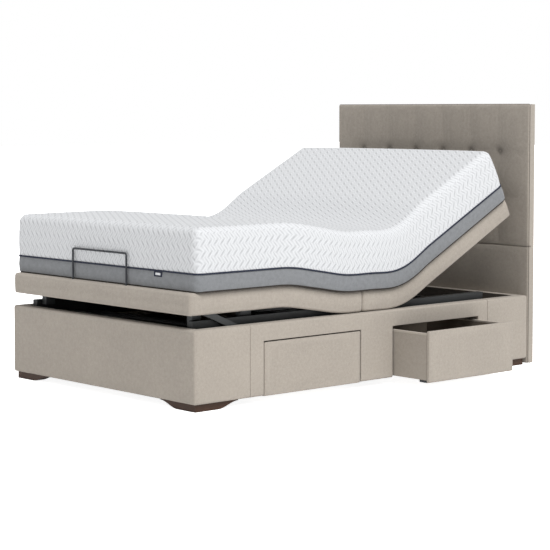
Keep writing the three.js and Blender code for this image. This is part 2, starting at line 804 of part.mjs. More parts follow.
function addMechanism(bed) {
  const frame = new THREE.Group();
  bed.add(frame);
  addPair(frame, "frame_rail", frameRail(), STEEL_LIGHT, 0.6, 0.4);
  addPiece(frame, "cross_tube_foot", crossTube(CROSS_TUBE_Y), STEEL, 0.6, 0.4);
  addPiece(frame, "cross_tube_head", crossTube(railHeadY - TUBE), STEEL, 0.6, 0.4);
  addPair(frame, "lift_prop", prop(), STEEL_LIGHT, 0.6, 0.4);
  const shaftHalf = railOut + PROP_CLEAR - GAP;
  addPiece(frame, "prop_shaft", shaft(SHAFT_RADIUS, -shaftHalf, shaftHalf, PROP_Y, PROP_Z), STEEL);
  const drives = [
    ["back", BACK_HINGE_Y, 1, foldBack, BACK_ANGLE, CRANK_X],
    ["leg", LEG_HINGE_Y, -1, foldLeg, LEG_ANGLE, -CRANK_X],
  ];
  const axisZ = notchFloor + GAP + ACTUATOR_SIZE / 2;
  for (const [name, hingeY, away, middle, angle, x] of drives) {
    const eyeY = eyeSpot(hingeY, away, middle, angle);
    addPiece(frame, `${name}_actuator`, actuatorBody(eyeY, away, axisZ, x), DARK, 0, 0.5);
    addPiece(frame, `${name}_push_rod`, pushRod(eyeY, away, middle, axisZ, x), STEEL_LIGHT, 0.8, 0.3);
  }
  addPiece(frame, "control_box", controlBox(), DARK, 0, 0.5);
}

// --- headboard ------------------------------------------------------------------------------

function addHeadboard(bed) {
  const headboard = new THREE.Group();
  bed.add(headboard);
  const front = halfLength + GAP;
  const boardFront = halfLength + HEAD_THICK - HEAD_BOARD;
  const back = halfLength + HEAD_THICK;
  const board = block(-halfWidth, halfWidth, boardFront + GAP, back, HEAD_BOTTOM, HEAD_TOP);
  addPiece(headboard, "headboard_board", board, FABRIC);
  const pad = (z0, z1) => softBlock(-halfWidth, halfWidth, front, boardFront, z0, z1, 5, 2);
  addPiece(headboard, "headboard_upper_pad", pad(HEAD_SEAM + GAP, HEAD_TOP), FABRIC);
  addPiece(headboard, "headboard_lower_pad", pad(HEAD_BOTTOM, HEAD_SEAM), FABRIC);
}

const bed = new THREE.Group();
addBox(bed);
addDrawer(bed, "drawer_foot_right", FOOT_DRAWER_Y, 1, 0);
addDrawer(bed, "drawer_head_right", HEAD_DRAWER_Y, 1, DRAWER_SHOWN_OPEN);
addDrawer(bed, "drawer_foot_left", FOOT_DRAWER_Y, -1, 0);
addDrawer(bed, "drawer_head_left", HEAD_DRAWER_Y, -1, 0);
addMechanism(bed);
addDeck(bed);
addHeadboard(bed);

export default bed;
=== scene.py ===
"""Adjustable divan bed: the soft pieces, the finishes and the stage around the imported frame."""

import json
import math

import bmesh
import bpy
import numpy as np
from bpy.props import FloatProperty, FloatVectorProperty, IntProperty, PointerProperty
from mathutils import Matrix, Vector


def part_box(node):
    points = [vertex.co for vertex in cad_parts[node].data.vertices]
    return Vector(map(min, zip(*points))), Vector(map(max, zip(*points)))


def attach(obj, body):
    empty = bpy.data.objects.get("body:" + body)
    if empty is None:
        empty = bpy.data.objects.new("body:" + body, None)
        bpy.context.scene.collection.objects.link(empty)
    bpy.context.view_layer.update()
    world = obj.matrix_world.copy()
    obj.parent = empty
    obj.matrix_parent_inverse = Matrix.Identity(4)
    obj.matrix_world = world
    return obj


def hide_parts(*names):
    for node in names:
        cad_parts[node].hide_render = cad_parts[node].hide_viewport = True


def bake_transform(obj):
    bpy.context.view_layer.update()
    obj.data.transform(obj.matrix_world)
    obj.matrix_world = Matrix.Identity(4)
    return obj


bl_info = {
    "name": "Adjustable Divan Bed",
    "version": (1, 0, 0),
    "blender": (4, 5, 0),
    "location": "View3D > Sidebar > Divan Bed",
    "description": "Dresses the frame of an adjustable divan bed in fabric, foam, steel and wood",
    "category": "Object",
}

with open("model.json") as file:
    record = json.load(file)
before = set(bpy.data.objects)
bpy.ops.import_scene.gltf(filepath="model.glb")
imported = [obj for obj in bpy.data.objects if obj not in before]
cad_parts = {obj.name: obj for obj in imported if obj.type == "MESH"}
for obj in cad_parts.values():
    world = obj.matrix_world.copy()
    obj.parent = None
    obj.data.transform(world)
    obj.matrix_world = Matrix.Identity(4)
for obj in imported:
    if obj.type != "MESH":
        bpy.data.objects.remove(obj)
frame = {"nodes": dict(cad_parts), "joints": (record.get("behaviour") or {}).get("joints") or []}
NODES = frame["nodes"]
JOINTS = {joint["name"]: joint for joint in frame["joints"]}
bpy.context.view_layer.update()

MM = 0.001
BACK_HINGE = np.array(JOINTS["back_lift"]["pos_m"])
LEG_HINGE = np.array(JOINTS["leg_lift"]["pos_m"])
KNEE_REST = np.array(JOINTS["knee_bend"]["pos_m"])
BACK_ANGLE = -math.radians(JOINTS["back_lift"]["range_deg"][0])
LEG_ANGLE = -math.radians(JOINTS["leg_lift"]["range_deg"][0])
THIGH_LENGTH = float(np.linalg.norm(KNEE_REST - LEG_HINGE))
KNEE_FLAT = LEG_HINGE - np.array([0, THIGH_LENGTH, 0])
HINGE_Z = float(BACK_HINGE[2])


def low_high(*names):
    """Lowest and highest corner of several frame nodes together."""
    corners = [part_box(name) for name in names]
    low = np.min([np.array(c[0]) for c in corners], axis=0)
    high = np.max([np.array(c[1]) for c in corners], axis=0)
    return low, high


# --- settings that a user would change ----------------------------------------------------------


def colour(name, description, default):
    return FloatVectorProperty(
        name=name, description=description, subtype="COLOR", size=3, min=0, max=1, default=default
    )


def length(name, description, default):
    return FloatProperty(
        name=name, description=description, subtype="DISTANCE", unit="LENGTH", default=default
    )


class DivanFabricSettings(bpy.types.PropertyGroup):
    """Colours of the upholstery."""

    cloth: colour("Cloth", "Woven cloth of box, platform and headboard", (0.343, 0.306, 0.264))
    lining: colour("Lining", "Cloth on the drawer trays", (0.33, 0.295, 0.255))
    inside: colour("Inside", "Dark backing inside the box", (0.15, 0.125, 0.10))


class DivanMattressSettings(bpy.types.PropertyGroup):
    """Sizes and colours of the mattress."""

    knit: colour("Knit", "Knitted top cloth", (0.625, 0.635, 0.65))
    border: colour("Border", "Felted band round the bottom", (0.196, 0.203, 0.212))
    piping: colour("Piping", "Cord between knit and border", (0.012, 0.015, 0.03))
    band: length("Band height", "Height of the piping above the bottom", 0.069)
    rib: length("Rib width", "Spacing of the knitted ribs", 0.031)
    wave: length("Rib wave", "Length of one zigzag of the ribs", 0.046)


class DivanHeadboardSettings(bpy.types.PropertyGroup):
    """Button grid of the headboard."""

    columns: IntProperty(name="Columns", description="Buttons across", default=6, min=1)
    rows: IntProperty(name="Rows", description="Buttons up the pad", default=2, min=1)
    depth: length("Button depth", "How deep a button pulls the pad in", 0.015)


class DivanHardwareSettings(bpy.types.PropertyGroup):
    """Colours of frame and feet."""

    steel: colour("Steel", "Painted steel", (0.029, 0.031, 0.032))
    wood: colour("Feet", "Stained wood", (0.045, 0.020, 0.010))
    board: colour("Board", "Underside of the boards", (0.13, 0.105, 0.085))
    plastic: colour("Plastic", "Housings of the drives", (0.02, 0.022, 0.026))


class DivanStageSettings(bpy.types.PropertyGroup):
    """Camera and light."""

    camera_place: FloatVectorProperty(
        name="Camera",
        description="Where the camera stands",
        subtype="XYZ",
        unit="LENGTH",
        size=3,
        default=(5.620, -5.0695, 1.1225),
    )
    camera_turn: FloatProperty(
        name="Turn",
        description="Turn of the camera about the upright",
        subtype="ANGLE",
        unit="ROTATION",
        default=math.radians(48.007),
    )
    camera_tilt: FloatProperty(
        name="Camera tilt",
        description="How far the camera looks down from level",
        subtype="ANGLE",
        unit="ROTATION",
        default=math.radians(3.5514),
    )
    camera_drop: FloatProperty(
        name="Drop",
        description="How far the camera's picture is shifted down, as a share of its width",
        default=0.10,
    )
    lens: FloatProperty(name="Lens", description="Focal length in millimetres", default=115.53)
    sky: FloatProperty(name="Sky", description="Strength of the light from all round", default=0.55)
    sun: FloatProperty(name="Sun", description="Strength of the soft key light", default=2.7)


# --- finishes -----------------------------------------------------------------------------------


class Wire:
    """A socket or number whose arithmetic adds Math nodes."""

    def __init__(self, finish, value):
        self.finish = finish
        self.value = value

    def _math(self, operation, *others):
        values = [self.value, *[o.value if isinstance(o, Wire) else o for o in others]]
        made = self.finish.node("ShaderNodeMath", {"operation": operation}, dict(enumerate(values)))
        return Wire(self.finish, made.outputs[0])

    def __add__(self, other):
        return self._math("ADD", other)

    __radd__ = __add__

    def __mul__(self, other):
        return self._math("MULTIPLY", other)

    __rmul__ = __mul__

    def __sub__(self, other):
        return self._math("SUBTRACT", other)

    def __rsub__(self, other):
        return Wire(self.finish, other)._math("SUBTRACT", self)

    def __truediv__(self, other):
        return self._math("DIVIDE", other)

    def fold(self, scale):
        """A triangle wave between 0 and scale."""
        return self._math("PINGPONG", scale)

    def sine(self):
        return self._math("SINE")

    def size(self):
        return self._math("ABSOLUTE")

    def below(self, limit):
        return self._math("LESS_THAN", limit)

    def above(self, limit):
        return self._math("GREATER_THAN", limit)

    def clamp(self):
        made = self.finish.node(
            "ShaderNodeMath",
            {"operation": "ADD", "use_clamp": True},
            {0: self.value, 1: 0.0},
        )
        return Wire(self.finish, made.outputs[0])


class Finish:
    """A material with one shader, whose nodes are added by node()."""

    def __init__(self, name, rough=0.9, metal=0.0, **fixed):
        self.material = bpy.data.materials.new(name)
        self.material.use_nodes = True
        self.tree = self.material.node_tree
        self.shader = self.tree.nodes["Principled BSDF"]
        self.shader.inputs["Roughness"].default_value = rough
        self.shader.inputs["Metallic"].default_value = metal
        for socket, value in fixed.items():
            self.shader.inputs[socket.replace("_", " ")].default_value = value

    def node(self, kind, settings=None, values=None):
        """A node of that type: its settings are set first, then its sockets get values or links."""
        made = self.tree.nodes.new(kind)
        for key, value in (settings or {}).items():
            setattr(made, key, value)
        for key, value in (values or {}).items():
            socket = made.inputs[key]
            value = value.value if isinstance(value, Wire) else value
            if isinstance(value, bpy.types.NodeSocket):
                self.tree.links.new(value, socket)
            else:
                socket.default_value = value
        return made

    def place(self, flat=False):
        """Where a point is: its place in the piece, or the flat place kept on a bent piece."""
        if flat:
            kept = self.node("ShaderNodeAttribute", {"attribute_name": "flat_place"})
            return kept.outputs["Vector"]
        return self.node("ShaderNodeTexCoord").outputs["Object"]

    def noise(self, place, scale, detail=2.0, rough=0.5):
        made = self.node(
            "ShaderNodeTexNoise",
            None,
            {"Vector": place, "Scale": scale, "Detail": detail, "Roughness": rough},
        )
        return Wire(self, made.outputs["Fac"])

    def wave(self, place, scale, direction, distortion=0.0):
        made = self.node(
            "ShaderNodeTexWave",
            {"wave_type": "BANDS", "bands_direction": direction, "wave_profile": "SIN"},
            {"Vector": place, "Scale": scale, "Distortion": distortion},
        )
        return Wire(self, made.outputs["Fac"])

    def mix(self, factor, first, second):
        made = self.node(
            "ShaderNodeMix",
            {"data_type": "RGBA"},
            {"Factor": factor, 6: first, 7: second},
        )
        return made.outputs[2]

    def paint(self, cover):
        self.tree.links.new(cover, self.shader.inputs["Base Color"])

    def relief(self, height, distance, strength=1.0):
        made = self.node(
            "ShaderNodeBump",
            None,
            {"Height": height, "Distance": distance, "Strength": strength},
        )
        self.tree.links.new(made.outputs["Normal"], self.shader.inputs["Normal"])

    def roughen(self, value):
        self.tree.links.new(value.value, self.shader.inputs["Roughness"])


def shade(rgb, factor=1.0):
    return (*[min(1.0, c * factor) for c in rgb], 1.0)


THREAD = 1.5 * MM


def woven(name, rgb, flat=False, fleck=0.13, fold=False):
    """Heather-mixed plain weave: fine crossing threads, slubs and soft cloudy flecks."""
    cloth = Finish(name, rough=0.92, Sheen_Weight=0.12, Sheen_Roughness=0.6, Specular_IOR_Level=0.2)
    place = cloth.place(flat)
    bands = 0.32 / THREAD
    warp = cloth.wave(place, bands, "X", 0.6)
    weft = cloth.wave(place, bands, "Z", 0.6)
    across = cloth.wave(place, bands, "Y", 0.6)
    slub = cloth.noise(place, 420.0, 3.0, 0.6)
    cloud = cloth.noise(place, 90.0, 4.0, 0.65)
    broad = cloth.noise(place, 7.0, 2.0, 0.5)
    weave = (warp + weft + across) / 3.0
    tone = (slub * 0.45 + cloud * 0.4 + weave * 0.15 + broad * 0.12 - 0.06).clamp()
    dark = shade(rgb, 1.0 - fleck * 1.6)
    light = shade(rgb, 1.0 + fleck * 1.5)
    spread = ((tone - 0.5) * 2.4 + 0.5).clamp()
    cover = cloth.mix(spread, dark, light)
    # Painted shade: the fold attribute darkens the cloth in the button dimples.
    if fold:
        deep = cloth.node("ShaderNodeAttribute", {"attribute_name": "fold"}).outputs["Fac"]
        cover = cloth.mix(deep, cover, shade(rgb, 0.32))
    cloth.paint(cover)
    cloth.relief(weave * 0.6 + slub * 0.4, 0.0006, 0.55)
    return cloth.material


def knitted(name, settings):
    """White knitted cover: upright ribs that zigzag, with dimples between them."""
    knit = Finish(name, rough=0.85, Sheen_Weight=0.15, Sheen_Roughness=0.5, Specular_IOR_Level=0.25)
    kept = knit.node("ShaderNodeUVMap", {"uv_map": "cloth"})
    parts = knit.node("ShaderNodeSeparateXYZ", None, {0: kept.outputs["UV"]})
    across = Wire(knit, parts.outputs[0])
    along = Wire(knit, parts.outputs[1])
    swing = along.fold(settings.wave / 2.0) / (settings.wave / 2.0)
    lean = (along * (2.0 * math.pi / settings.wave)).sine()
    rib = (across + swing * settings.rib * 0.6) / settings.rib
    ridge = rib.fold(0.5) * 2.0
    deep = (1.0 - ridge * 1.7).clamp()
    thin = (ridge * 2.4 - 1.4).clamp()
    groove = deep * (0.64 + lean * 0.28) + thin * (0.50 - lean * 0.24)
    fine = knit.noise(kept.outputs["UV"], 900.0, 2.0, 0.5)
    height = (1.0 - groove) + fine * 0.10
    # Painted shade: the knit is coloured darker down in the grooves between the ribs.
    tone = (1.0 - groove * 0.9 - fine * 0.12 + 0.06).clamp()
    knit.paint(knit.mix(tone, shade(settings.knit, 0.62), shade(settings.knit, 1.05)))
    knit.relief(height, 0.0035, 0.5)
    return knit.material


def lined(name, fabric):
    """Tray cloth outside and dark backing inside, split by the place between the walls."""
    cloth = Finish(name, rough=0.92, Sheen_Weight=0.1, Specular_IOR_Level=0.2)
    within = cloth.node("ShaderNodeTexCoord").outputs["Generated"]
    parts = cloth.node("ShaderNodeSeparateXYZ", None, {0: within})
    x, y, z = (Wire(cloth, parts.outputs[i]) for i in range(3))
    inside = (x - 0.5).size().below(0.487) * (y - 0.5).size().below(0.488) * z.above(0.015)
    place = cloth.place()
    slub = cloth.noise(place, 420.0, 3.0, 0.6)
    cloud = cloth.noise(place, 90.0, 4.0, 0.65)
    tone = ((slub * 0.5 + cloud * 0.5 - 0.5) * 2.4 + 0.5).clamp()
    outer = cloth.mix(tone, shade(fabric.lining, 0.86), shade(fabric.lining, 1.12))
    inner = cloth.mix(tone, shade(fabric.inside, 0.9), shade(fabric.inside, 1.3))
    cloth.paint(cloth.mix(inside, outer, inner))
    cloth.relief(slub, 0.0005, 0.5)
    return cloth.material


def felted(name, rgb):
    """Mottled grey felt with a short nap."""
    felt = Finish(name, rough=0.95, Sheen_Weight=0.2, Specular_IOR_Level=0.15)
    place = felt.place(flat=True)
    nap = felt.noise(place, 700.0, 3.0, 0.6)
    cloud = felt.noise(place, 60.0, 4.0, 0.6)
    tone = ((nap * 0.55 + cloud * 0.45 - 0.5) * 2.6 + 0.5).clamp()
    felt.paint(felt.mix(tone, shade(rgb, 0.8), shade(rgb, 1.22)))
    felt.relief(nap + cloud * 0.5, 0.0008, 0.5)
    return felt.material


def corded(name, rgb):
    """Twisted cord, and the dark cord of painted shadow under the mattress."""
    cord = Finish(name, rough=0.7, Specular_IOR_Level=0.3)
    place = cord.place(flat=True)
    twist = cord.noise(place, 600.0, 2.0, 0.5)
    cord.paint(cord.mix(twist.clamp(), shade(rgb, 0.7), shade(rgb, 1.6)))
    cord.relief(twist, 0.0006, 0.6)
    return cord.material


def painted_steel(name, rgb, light=1.25):
    """Powder-coated steel: orange-peel skin, slight wear and dust in random patches."""
    steel = Finish(name, rough=0.42, metal=0.25, Specular_IOR_Level=0.5)
    place = steel.place()
    skin = steel.noise(place, 900.0, 2.0, 0.5)
    stain = steel.noise(place, 14.0, 4.0, 0.6)
    steel.paint(steel.mix(stain.clamp(), shade(rgb, 0.85), shade(rgb, light)))
    steel.roughen((0.34 + stain * 0.2).clamp())
    steel.relief(skin, 0.0004, 0.35)
    return steel.material


def stained_wood(name, rgb):
    """Dark stained wood with grain along its length."""
    wood = Finish(name, rough=0.5, Coat_Weight=0.05, Specular_IOR_Level=0.25)
    place = wood.place()
    stretch = wood.node("ShaderNodeMapping", None, {"Vector": place, "Scale": (6.0, 6.0, 70.0)})
    grain = wood.noise(stretch.outputs[0], 9.0, 6.0, 0.65)
    ring = wood.wave(stretch.outputs[0], 1.6, "Z", 5.0)
    tone = ((grain * 0.6 + ring * 0.4 - 0.5) * 1.8 + 0.5).clamp()
    wood.paint(wood.mix(tone, shade(rgb, 0.55), shade(rgb, 1.6)))
    wood.roughen((0.3 + grain * 0.25).clamp())
    wood.relief(tone, 0.0005, 0.4)
    return wood.material


def pressed_board(name, rgb):
    """Pressed wood board with flakes."""
    board = Finish(name, rough=0.75, Specular_IOR_Level=0.25)
    place = board.place()
    flake = board.node(
        "ShaderNodeTexVoronoi",
        {"feature": "F1"},
        {"Vector": place, "Scale": 160.0, "Randomness": 1.0},
    )
    dust = board.noise(place, 300.0, 3.0, 0.6)
    tone = (Wire(board, flake.outputs["Distance"]) * 0.7 + dust * 0.5 - 0.1).clamp()
    board.paint(board.mix(tone, shade(rgb, 0.7), shade(rgb, 1.45)))
    board.relief(tone, 0.0006, 0.4)
    return board.material


def moulded_plastic(name, rgb):
    """Moulded housing with a fine spark-eroded grain."""
    plastic = Finish(name, rough=0.5, Specular_IOR_Level=0.45)
    place = plastic.place()
    grain = plastic.noise(place, 1400.0, 2.0, 0.5)
    haze = plastic.noise(place, 20.0, 3.0, 0.5)
    plastic.paint(plastic.mix(haze.clamp(), shade(rgb, 0.8), shade(rgb, 1.5)))
    plastic.roughen((0.42 + haze * 0.18).clamp())
    plastic.relief(grain, 0.0003, 0.4)
    return plastic.material


FINISHES = {}


def finish(name):
    """The finish of that name, made when it is first asked for."""
    if name not in FINISHES:
        scene = bpy.context.scene
        fabric = scene.divan_fabric
        mattress = scene.divan_mattress
        hardware = scene.divan_hardware
        makers = {
            "woven_cloth": lambda: woven("Woven cloth", fabric.cloth),
            # The buttons wear the pad's cloth painted darker: painted shade of their dimples.
            "button_cloth": lambda: woven("Button cloth", [0.8 * c for c in fabric.cloth]),
            "edge_cord": lambda: corded("Edge cord", [0.42 * c for c in fabric.cloth]),
            "woven_tufted": lambda: woven("Woven tufted cloth", fabric.cloth, fold=True),
            "woven_platform": lambda: woven("Woven platform cloth", fabric.cloth, flat=True),
            "tray_lining": lambda: lined("Lined tray", fabric),
            "edge_tape": lambda: woven(
                "Edge tape", [min(1, c * 1.25) for c in fabric.lining], fleck=0.05
            ),
            # Backing at half the inside colour: partly dark backing cloth, partly painted shade inside
            # the box and underneath.
            "dark_backing": lambda: woven(
                "Dark backing", [0.5 * c for c in fabric.inside], fleck=0.2
            ),
            "knit": lambda: knitted("Knitted cover", mattress),
            "border_felt": lambda: felted("Border felt", mattress.border),
            "navy_cord": lambda: corded("Navy cord", mattress.piping),
            # Painted shadow: the dark cord where the mattress meets the platform.
            "seam_shadow": lambda: corded("Seam tape", [0.2 * c for c in hardware.board]),
            "tag_white": lambda: woven("Tag ribbon", mattress.knit, flat=True, fleck=0.03),
            "steel": lambda: painted_steel("Painted steel", hardware.steel),
            "steel_pale": lambda: painted_steel(
                "Pale painted steel", [c * 2.2 for c in hardware.steel]
            ),
            "foot_wood": lambda: stained_wood("Stained foot wood", hardware.wood),
            "deck_board": lambda: pressed_board("Deck board", hardware.board),
            "dark_board": lambda: pressed_board("Dark board", [c * 0.9 for c in hardware.board]),
            "housing": lambda: moulded_plastic("Drive housing", hardware.plastic),
            "bar_paint": lambda: painted_steel("Dark bar paint", hardware.plastic, 1.6),
        }
        FINISHES[name] = makers[name]()
    return FINISHES[name]


def dress(piece, *finishes):
    piece.data.materials.clear()
    for name in finishes:
        piece.data.materials.append(finish(name))
    return piece


# --- mesh tools ---------------------------------------------------------------------------------


def spaced(low, high, step, *marks):
    """Grid lines from low to high about step apart, through every mark."""
    stops = sorted({low, high, *[m for m in marks if low < m < high]})
    lines = [stops[0]]
    for start, end in zip(stops, stops[1:]):
        count = max(1, round((end - start) / step))
        lines += [start + (end - start) * i / count for i in range(1, count + 1)]
    return lines


def edge_marks(low, high, radius, count=4):
    """Marks that lie closely beside both ends, for an edge to be rounded there."""
    steps = [radius * i / count for i in range(1, count + 1)]
    return [low + s for s in steps] + [high - s for s in steps]


def cell_block(xs, ys, zs, is_solid):
    """The closed skin of the grid cells that are solid, as points, quads and each quad's direction."""
    nx, ny, nz = len(xs) - 1, len(ys) - 1, len(zs) - 1
    mid = lambda lines, i: (lines[i] + lines[i + 1]) / 2
    solid = np.zeros((nx + 2, ny + 2, nz + 2), bool)
    for i in range(nx):
        for j in range(ny):
            for k in range(nz):
                solid[i + 1, j + 1, k + 1] = is_solid(mid(xs, i), mid(ys, j), mid(zs, k))
    index = {}
    points = []
    quads = []

    def corner(i, j, k):
        if (i, j, k) not in index:
            index[(i, j, k)] = len(points)
            points.append((xs[i], ys[j], zs[k]))
        return index[(i, j, k)]

    turns = {
        0: ((0, 0, 0), (0, 1, 0), (0, 1, 1), (0, 0, 1)),
        1: ((0, 0, 0), (0, 0, 1), (1, 0, 1), (1, 0, 0)),
        2: ((0, 0, 0), (1, 0, 0), (1, 1, 0), (0, 1, 0)),
    }
    for axis in range(3):
        step = np.zeros(3, int)
        step[axis] = 1
        for side in (-1, 1):
            shifted = np.roll(solid, -side, axis=axis)
            for i, j, k in np.argwhere(solid & ~shifted):
                base = np.array([i - 1, j - 1, k - 1]) + (step if side > 0 else 0)
                ring = [corner(*(base + np.array(t))) for t in turns[axis]]
                quads.append(ring if side > 0 else ring[::-1])
    return np.array(points, float), quads


def soften(points, low, high, corner, edge, bottom=None, ends=(True, True)):
    """Rounds the upright corners and the top and bottom edges of a block's surface points."""
    low, high = np.array(low, float), np.array(high, float)
    bottom = edge if bottom is None else bottom
    far = 10.0
    if not ends[0]:
        low[1] -= far
    if not ends[1]:
        high[1] += far
    plan = points[:, :2]
    core = np.clip(plan, low[:2] + corner, high[:2] - corner)
    out = plan - core
    reach = np.abs(out).max(axis=1)
    span = np.hypot(out[:, 0], out[:, 1])
    out = out * (reach / np.where(span > 0, span, 1.0))[:, None]
    normal = out / np.where(reach > 0, reach, 1.0)[:, None]
    inward = np.where(reach > 0, corner - reach, corner)
    made = np.column_stack([core + out, points[:, 2]])
    for radius, limit, sign in ((edge, high[2], 1), (bottom, low[2], -1)):
        depth = (limit - points[:, 2]) * sign
        near = (inward < radius) & (depth < radius) & (radius > 0)
        a = np.where(near, radius - inward, 0.0)
        b = np.where(near, radius - depth, 0.0)
        size = np.hypot(a, b)
        ratio = np.where(size > 0, np.maximum(a, b) / np.where(size > 0, size, 1.0), 1.0)
        shift = np.where(near, a - a * ratio, 0.0)
        made[:, :2] -= normal * shift[:, None]
        drop = radius - b * ratio
        made[:, 2] = np.where(near, limit - sign * drop, made[:, 2])
    return made, normal, inward


def soft_block(low, high, steps, radius, ends=(True, True)):
    """A block with rounded edges: its grid lines, its points before and after, and its quads."""
    grid = [
        spaced(start, end, step, *edge_marks(start, end, radius, 3))
        for start, end, step in zip(low, high, steps)
    ]
    points, quads = cell_block(*grid, lambda x, y, z: True)
    made, _, _ = soften(points, low, high, radius, radius, ends=ends)
    return grid, points, made, quads


def ripple(points, size, seed, spread):
    """Small smooth unevenness of hand-stretched cloth, the same on every run."""
    rng = np.random.default_rng(seed)
    total = np.zeros(len(points))
    for _ in range(6):
        direction = rng.normal(size=3)
        direction /= np.linalg.norm(direction)
        phase = rng.uniform(0, 2 * math.pi)
        total += np.sin(points @ direction * (2 * math.pi / spread) * rng.uniform(0.6, 1.5) + phase)
    return total * size / 6.0


def piece_from(name, points, faces, smooth=True):
    mesh = bpy.data.meshes.new(name)
    mesh.from_pydata([tuple(p) for p in points], [], [list(f) for f in faces])
    mesh.validate()
    mesh.update()
    if smooth:
        mesh.shade_smooth()
    piece = bpy.data.objects.new(name, mesh)
    bpy.context.scene.collection.objects.link(piece)
    return piece


def clean_mesh(piece, distance=1e-5):
    mesh = piece.data
    bm = bmesh.new()
    bm.from_mesh(mesh)
    bmesh.ops.remove_doubles(bm, verts=bm.verts, dist=distance)
    bmesh.ops.dissolve_degenerate(bm, edges=bm.edges, dist=distance / 10)
    bmesh.ops.recalc_face_normals(bm, faces=bm.faces)
    bm.to_mesh(mesh)
    bm.free()
    mesh.shade_smooth()


def bevel(piece, width, segments=3, angle=40.0):
    made = piece.modifiers.new("Edge", "BEVEL")
    made.width = width
    made.segments = segments
    made.limit_method = "ANGLE"
    made.angle_limit = math.radians(angle)
    made.harden_normals = False
    return made


def smooth_by_angle(piece, degrees=40.0):
    """Keeps edges sharper than the angle crisp."""
    piece.data.shade_smooth()
    piece.data.set_sharp_from_angle(angle=math.radians(degrees))


def tube(name, path, radius, closed=False, sides=12, scale=None):
    """A round cord or bar along a path of points."""
    path = np.array(path, float)
    count = len(path)
    rings = []
    up = np.array([0.0, 0.0, 1.0])
    for i in range(count):
        before = path[(i - 1) % count] if closed or i > 0 else path[i]
        after = path[(i + 1) % count] if closed or i < count - 1 else path[i]
        ahead = after - before
        ahead /= np.linalg.norm(ahead)
        helper = up if abs(ahead @ up) < 0.9 else np.array([0.0, 1.0, 0.0])
        side = np.cross(ahead, helper)
        side /= np.linalg.norm(side)
        lift = np.cross(side, ahead)
        size = radius if scale is None else radius * scale[i]
        ring = [
            path[i] + size * (math.cos(a) * side + math.sin(a) * lift)
            for a in np.linspace(0, 2 * math.pi, sides, endpoint=False)
        ]
        rings.append(ring)
    points = [p for ring in rings for p in ring]
    faces = []
    for i in range(count if closed else count - 1):
        j = (i + 1) % count
        for k in range(sides):
            m = (k + 1) % sides
            faces.append([i * sides + k, i * sides + m, j * sides + m, j * sides + k])
    if not closed:
        faces.append(list(range(sides)))
        faces.append([(count - 1) * sides + k for k in reversed(range(sides))])
    piece = piece_from(name, points, faces)
    clean_mesh(piece)
    return piece


def turned(name, profile, sides, place):
    """A round piece: place() puts each (share of the radius, height) of its profile at an angle."""
    angles = [2 * math.pi * i / sides for i in range(sides)]
    points, rings = [], []
    for share, height in profile:
        around = angles if share > 0 else angles[:1]
        rings.append([len(points) + i for i in range(len(around))])
        points += [place(share, height, math.cos(a), math.sin(a)) for a in around]
    faces = [ring for ring in (rings[0], rings[-1][::-1]) if len(ring) > 1]
    for lower, upper in zip(rings, rings[1:]):
        for i in range(sides):
            j = (i + 1) % sides
            corners = [lower[i % len(lower)], lower[j % len(lower)]]
            corners += [upper[j % len(upper)], upper[i % len(upper)]]
            faces.append(list(dict.fromkeys(corners)))
    piece = piece_from(name, points, faces)
    clean_mesh(piece)
    return piece


# --- bending over the hinge lines ---------------------------------------------------------------


def turn_about(points, pivot, angles):
    """Points turned about a line along X through pivot, each by its own angle."""
    dy = points[:, 1] - pivot[1]
    dz = points[:, 2] - pivot[2]
    c, s = np.cos(angles), np.sin(angles)
    made = points.copy()
    made[:, 1] = pivot[1] + dy * c - dz * s
    made[:, 2] = pivot[2] + dy * s + dz * c
    return made


def crease(centre, half, slope):
    """Start and end of a bend centred on a hinge line, square to the crease."""
    way = np.array([0.0, math.cos(slope), math.sin(slope)]) * half
    return centre - way, centre + way


def weights(points, start, end):
    way = end - start
    t = np.clip(((points - start) @ way) / (way @ way), 0, 1)
    return t * t * (3 - 2 * t)


class Section:
    """A stretch of platform or mattress that bends over one hinge line."""

    def __init__(self, name, bodies, y_low, y_high, start, end, swell, settle):
        self.name = name
        self.bodies = bodies
        self.y_low = y_low
        self.y_high = y_high
        self.start = start
        self.end = end
        self.swell = swell
        self.settle = settle

    def to_rest(self, flat):
        """Rest places of points given flat; soft foam rounds the fold off by the swell."""
        rest = self.settle(flat, np.zeros(len(flat)))
        for _ in range(60):
            rest = 0.4 * rest + 0.6 * self.settle(flat, weights(rest, self.start, self.end))
        way = (self.end - self.start) / np.linalg.norm(self.end - self.start)
        t = np.clip((rest - self.start) @ way / np.linalg.norm(self.end - self.start), 0, 1)
        normal = np.array([0.0, -way[2], way[1]]) * np.sign(way[1])
        return rest + normal * (self.swell * 16 * t**2 * (1 - t) ** 2)[:, None]

    def blend(self, piece):
        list(self.bodies)
        tuple(self.start)
        tuple(self.end)
        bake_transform(piece)


def back_settle(flat, weight):
    return turn_about(flat, BACK_HINGE, BACK_ANGLE * weight)


def thigh_settle(flat, weight):
    return turn_about(flat, LEG_HINGE, -LEG_ANGLE * weight)


def calf_settle(flat, weight):
    bent = turn_about(flat, KNEE_FLAT, LEG_ANGLE * weight)
    return turn_about(bent, LEG_HINGE, np.full(len(flat), -LEG_ANGLE))


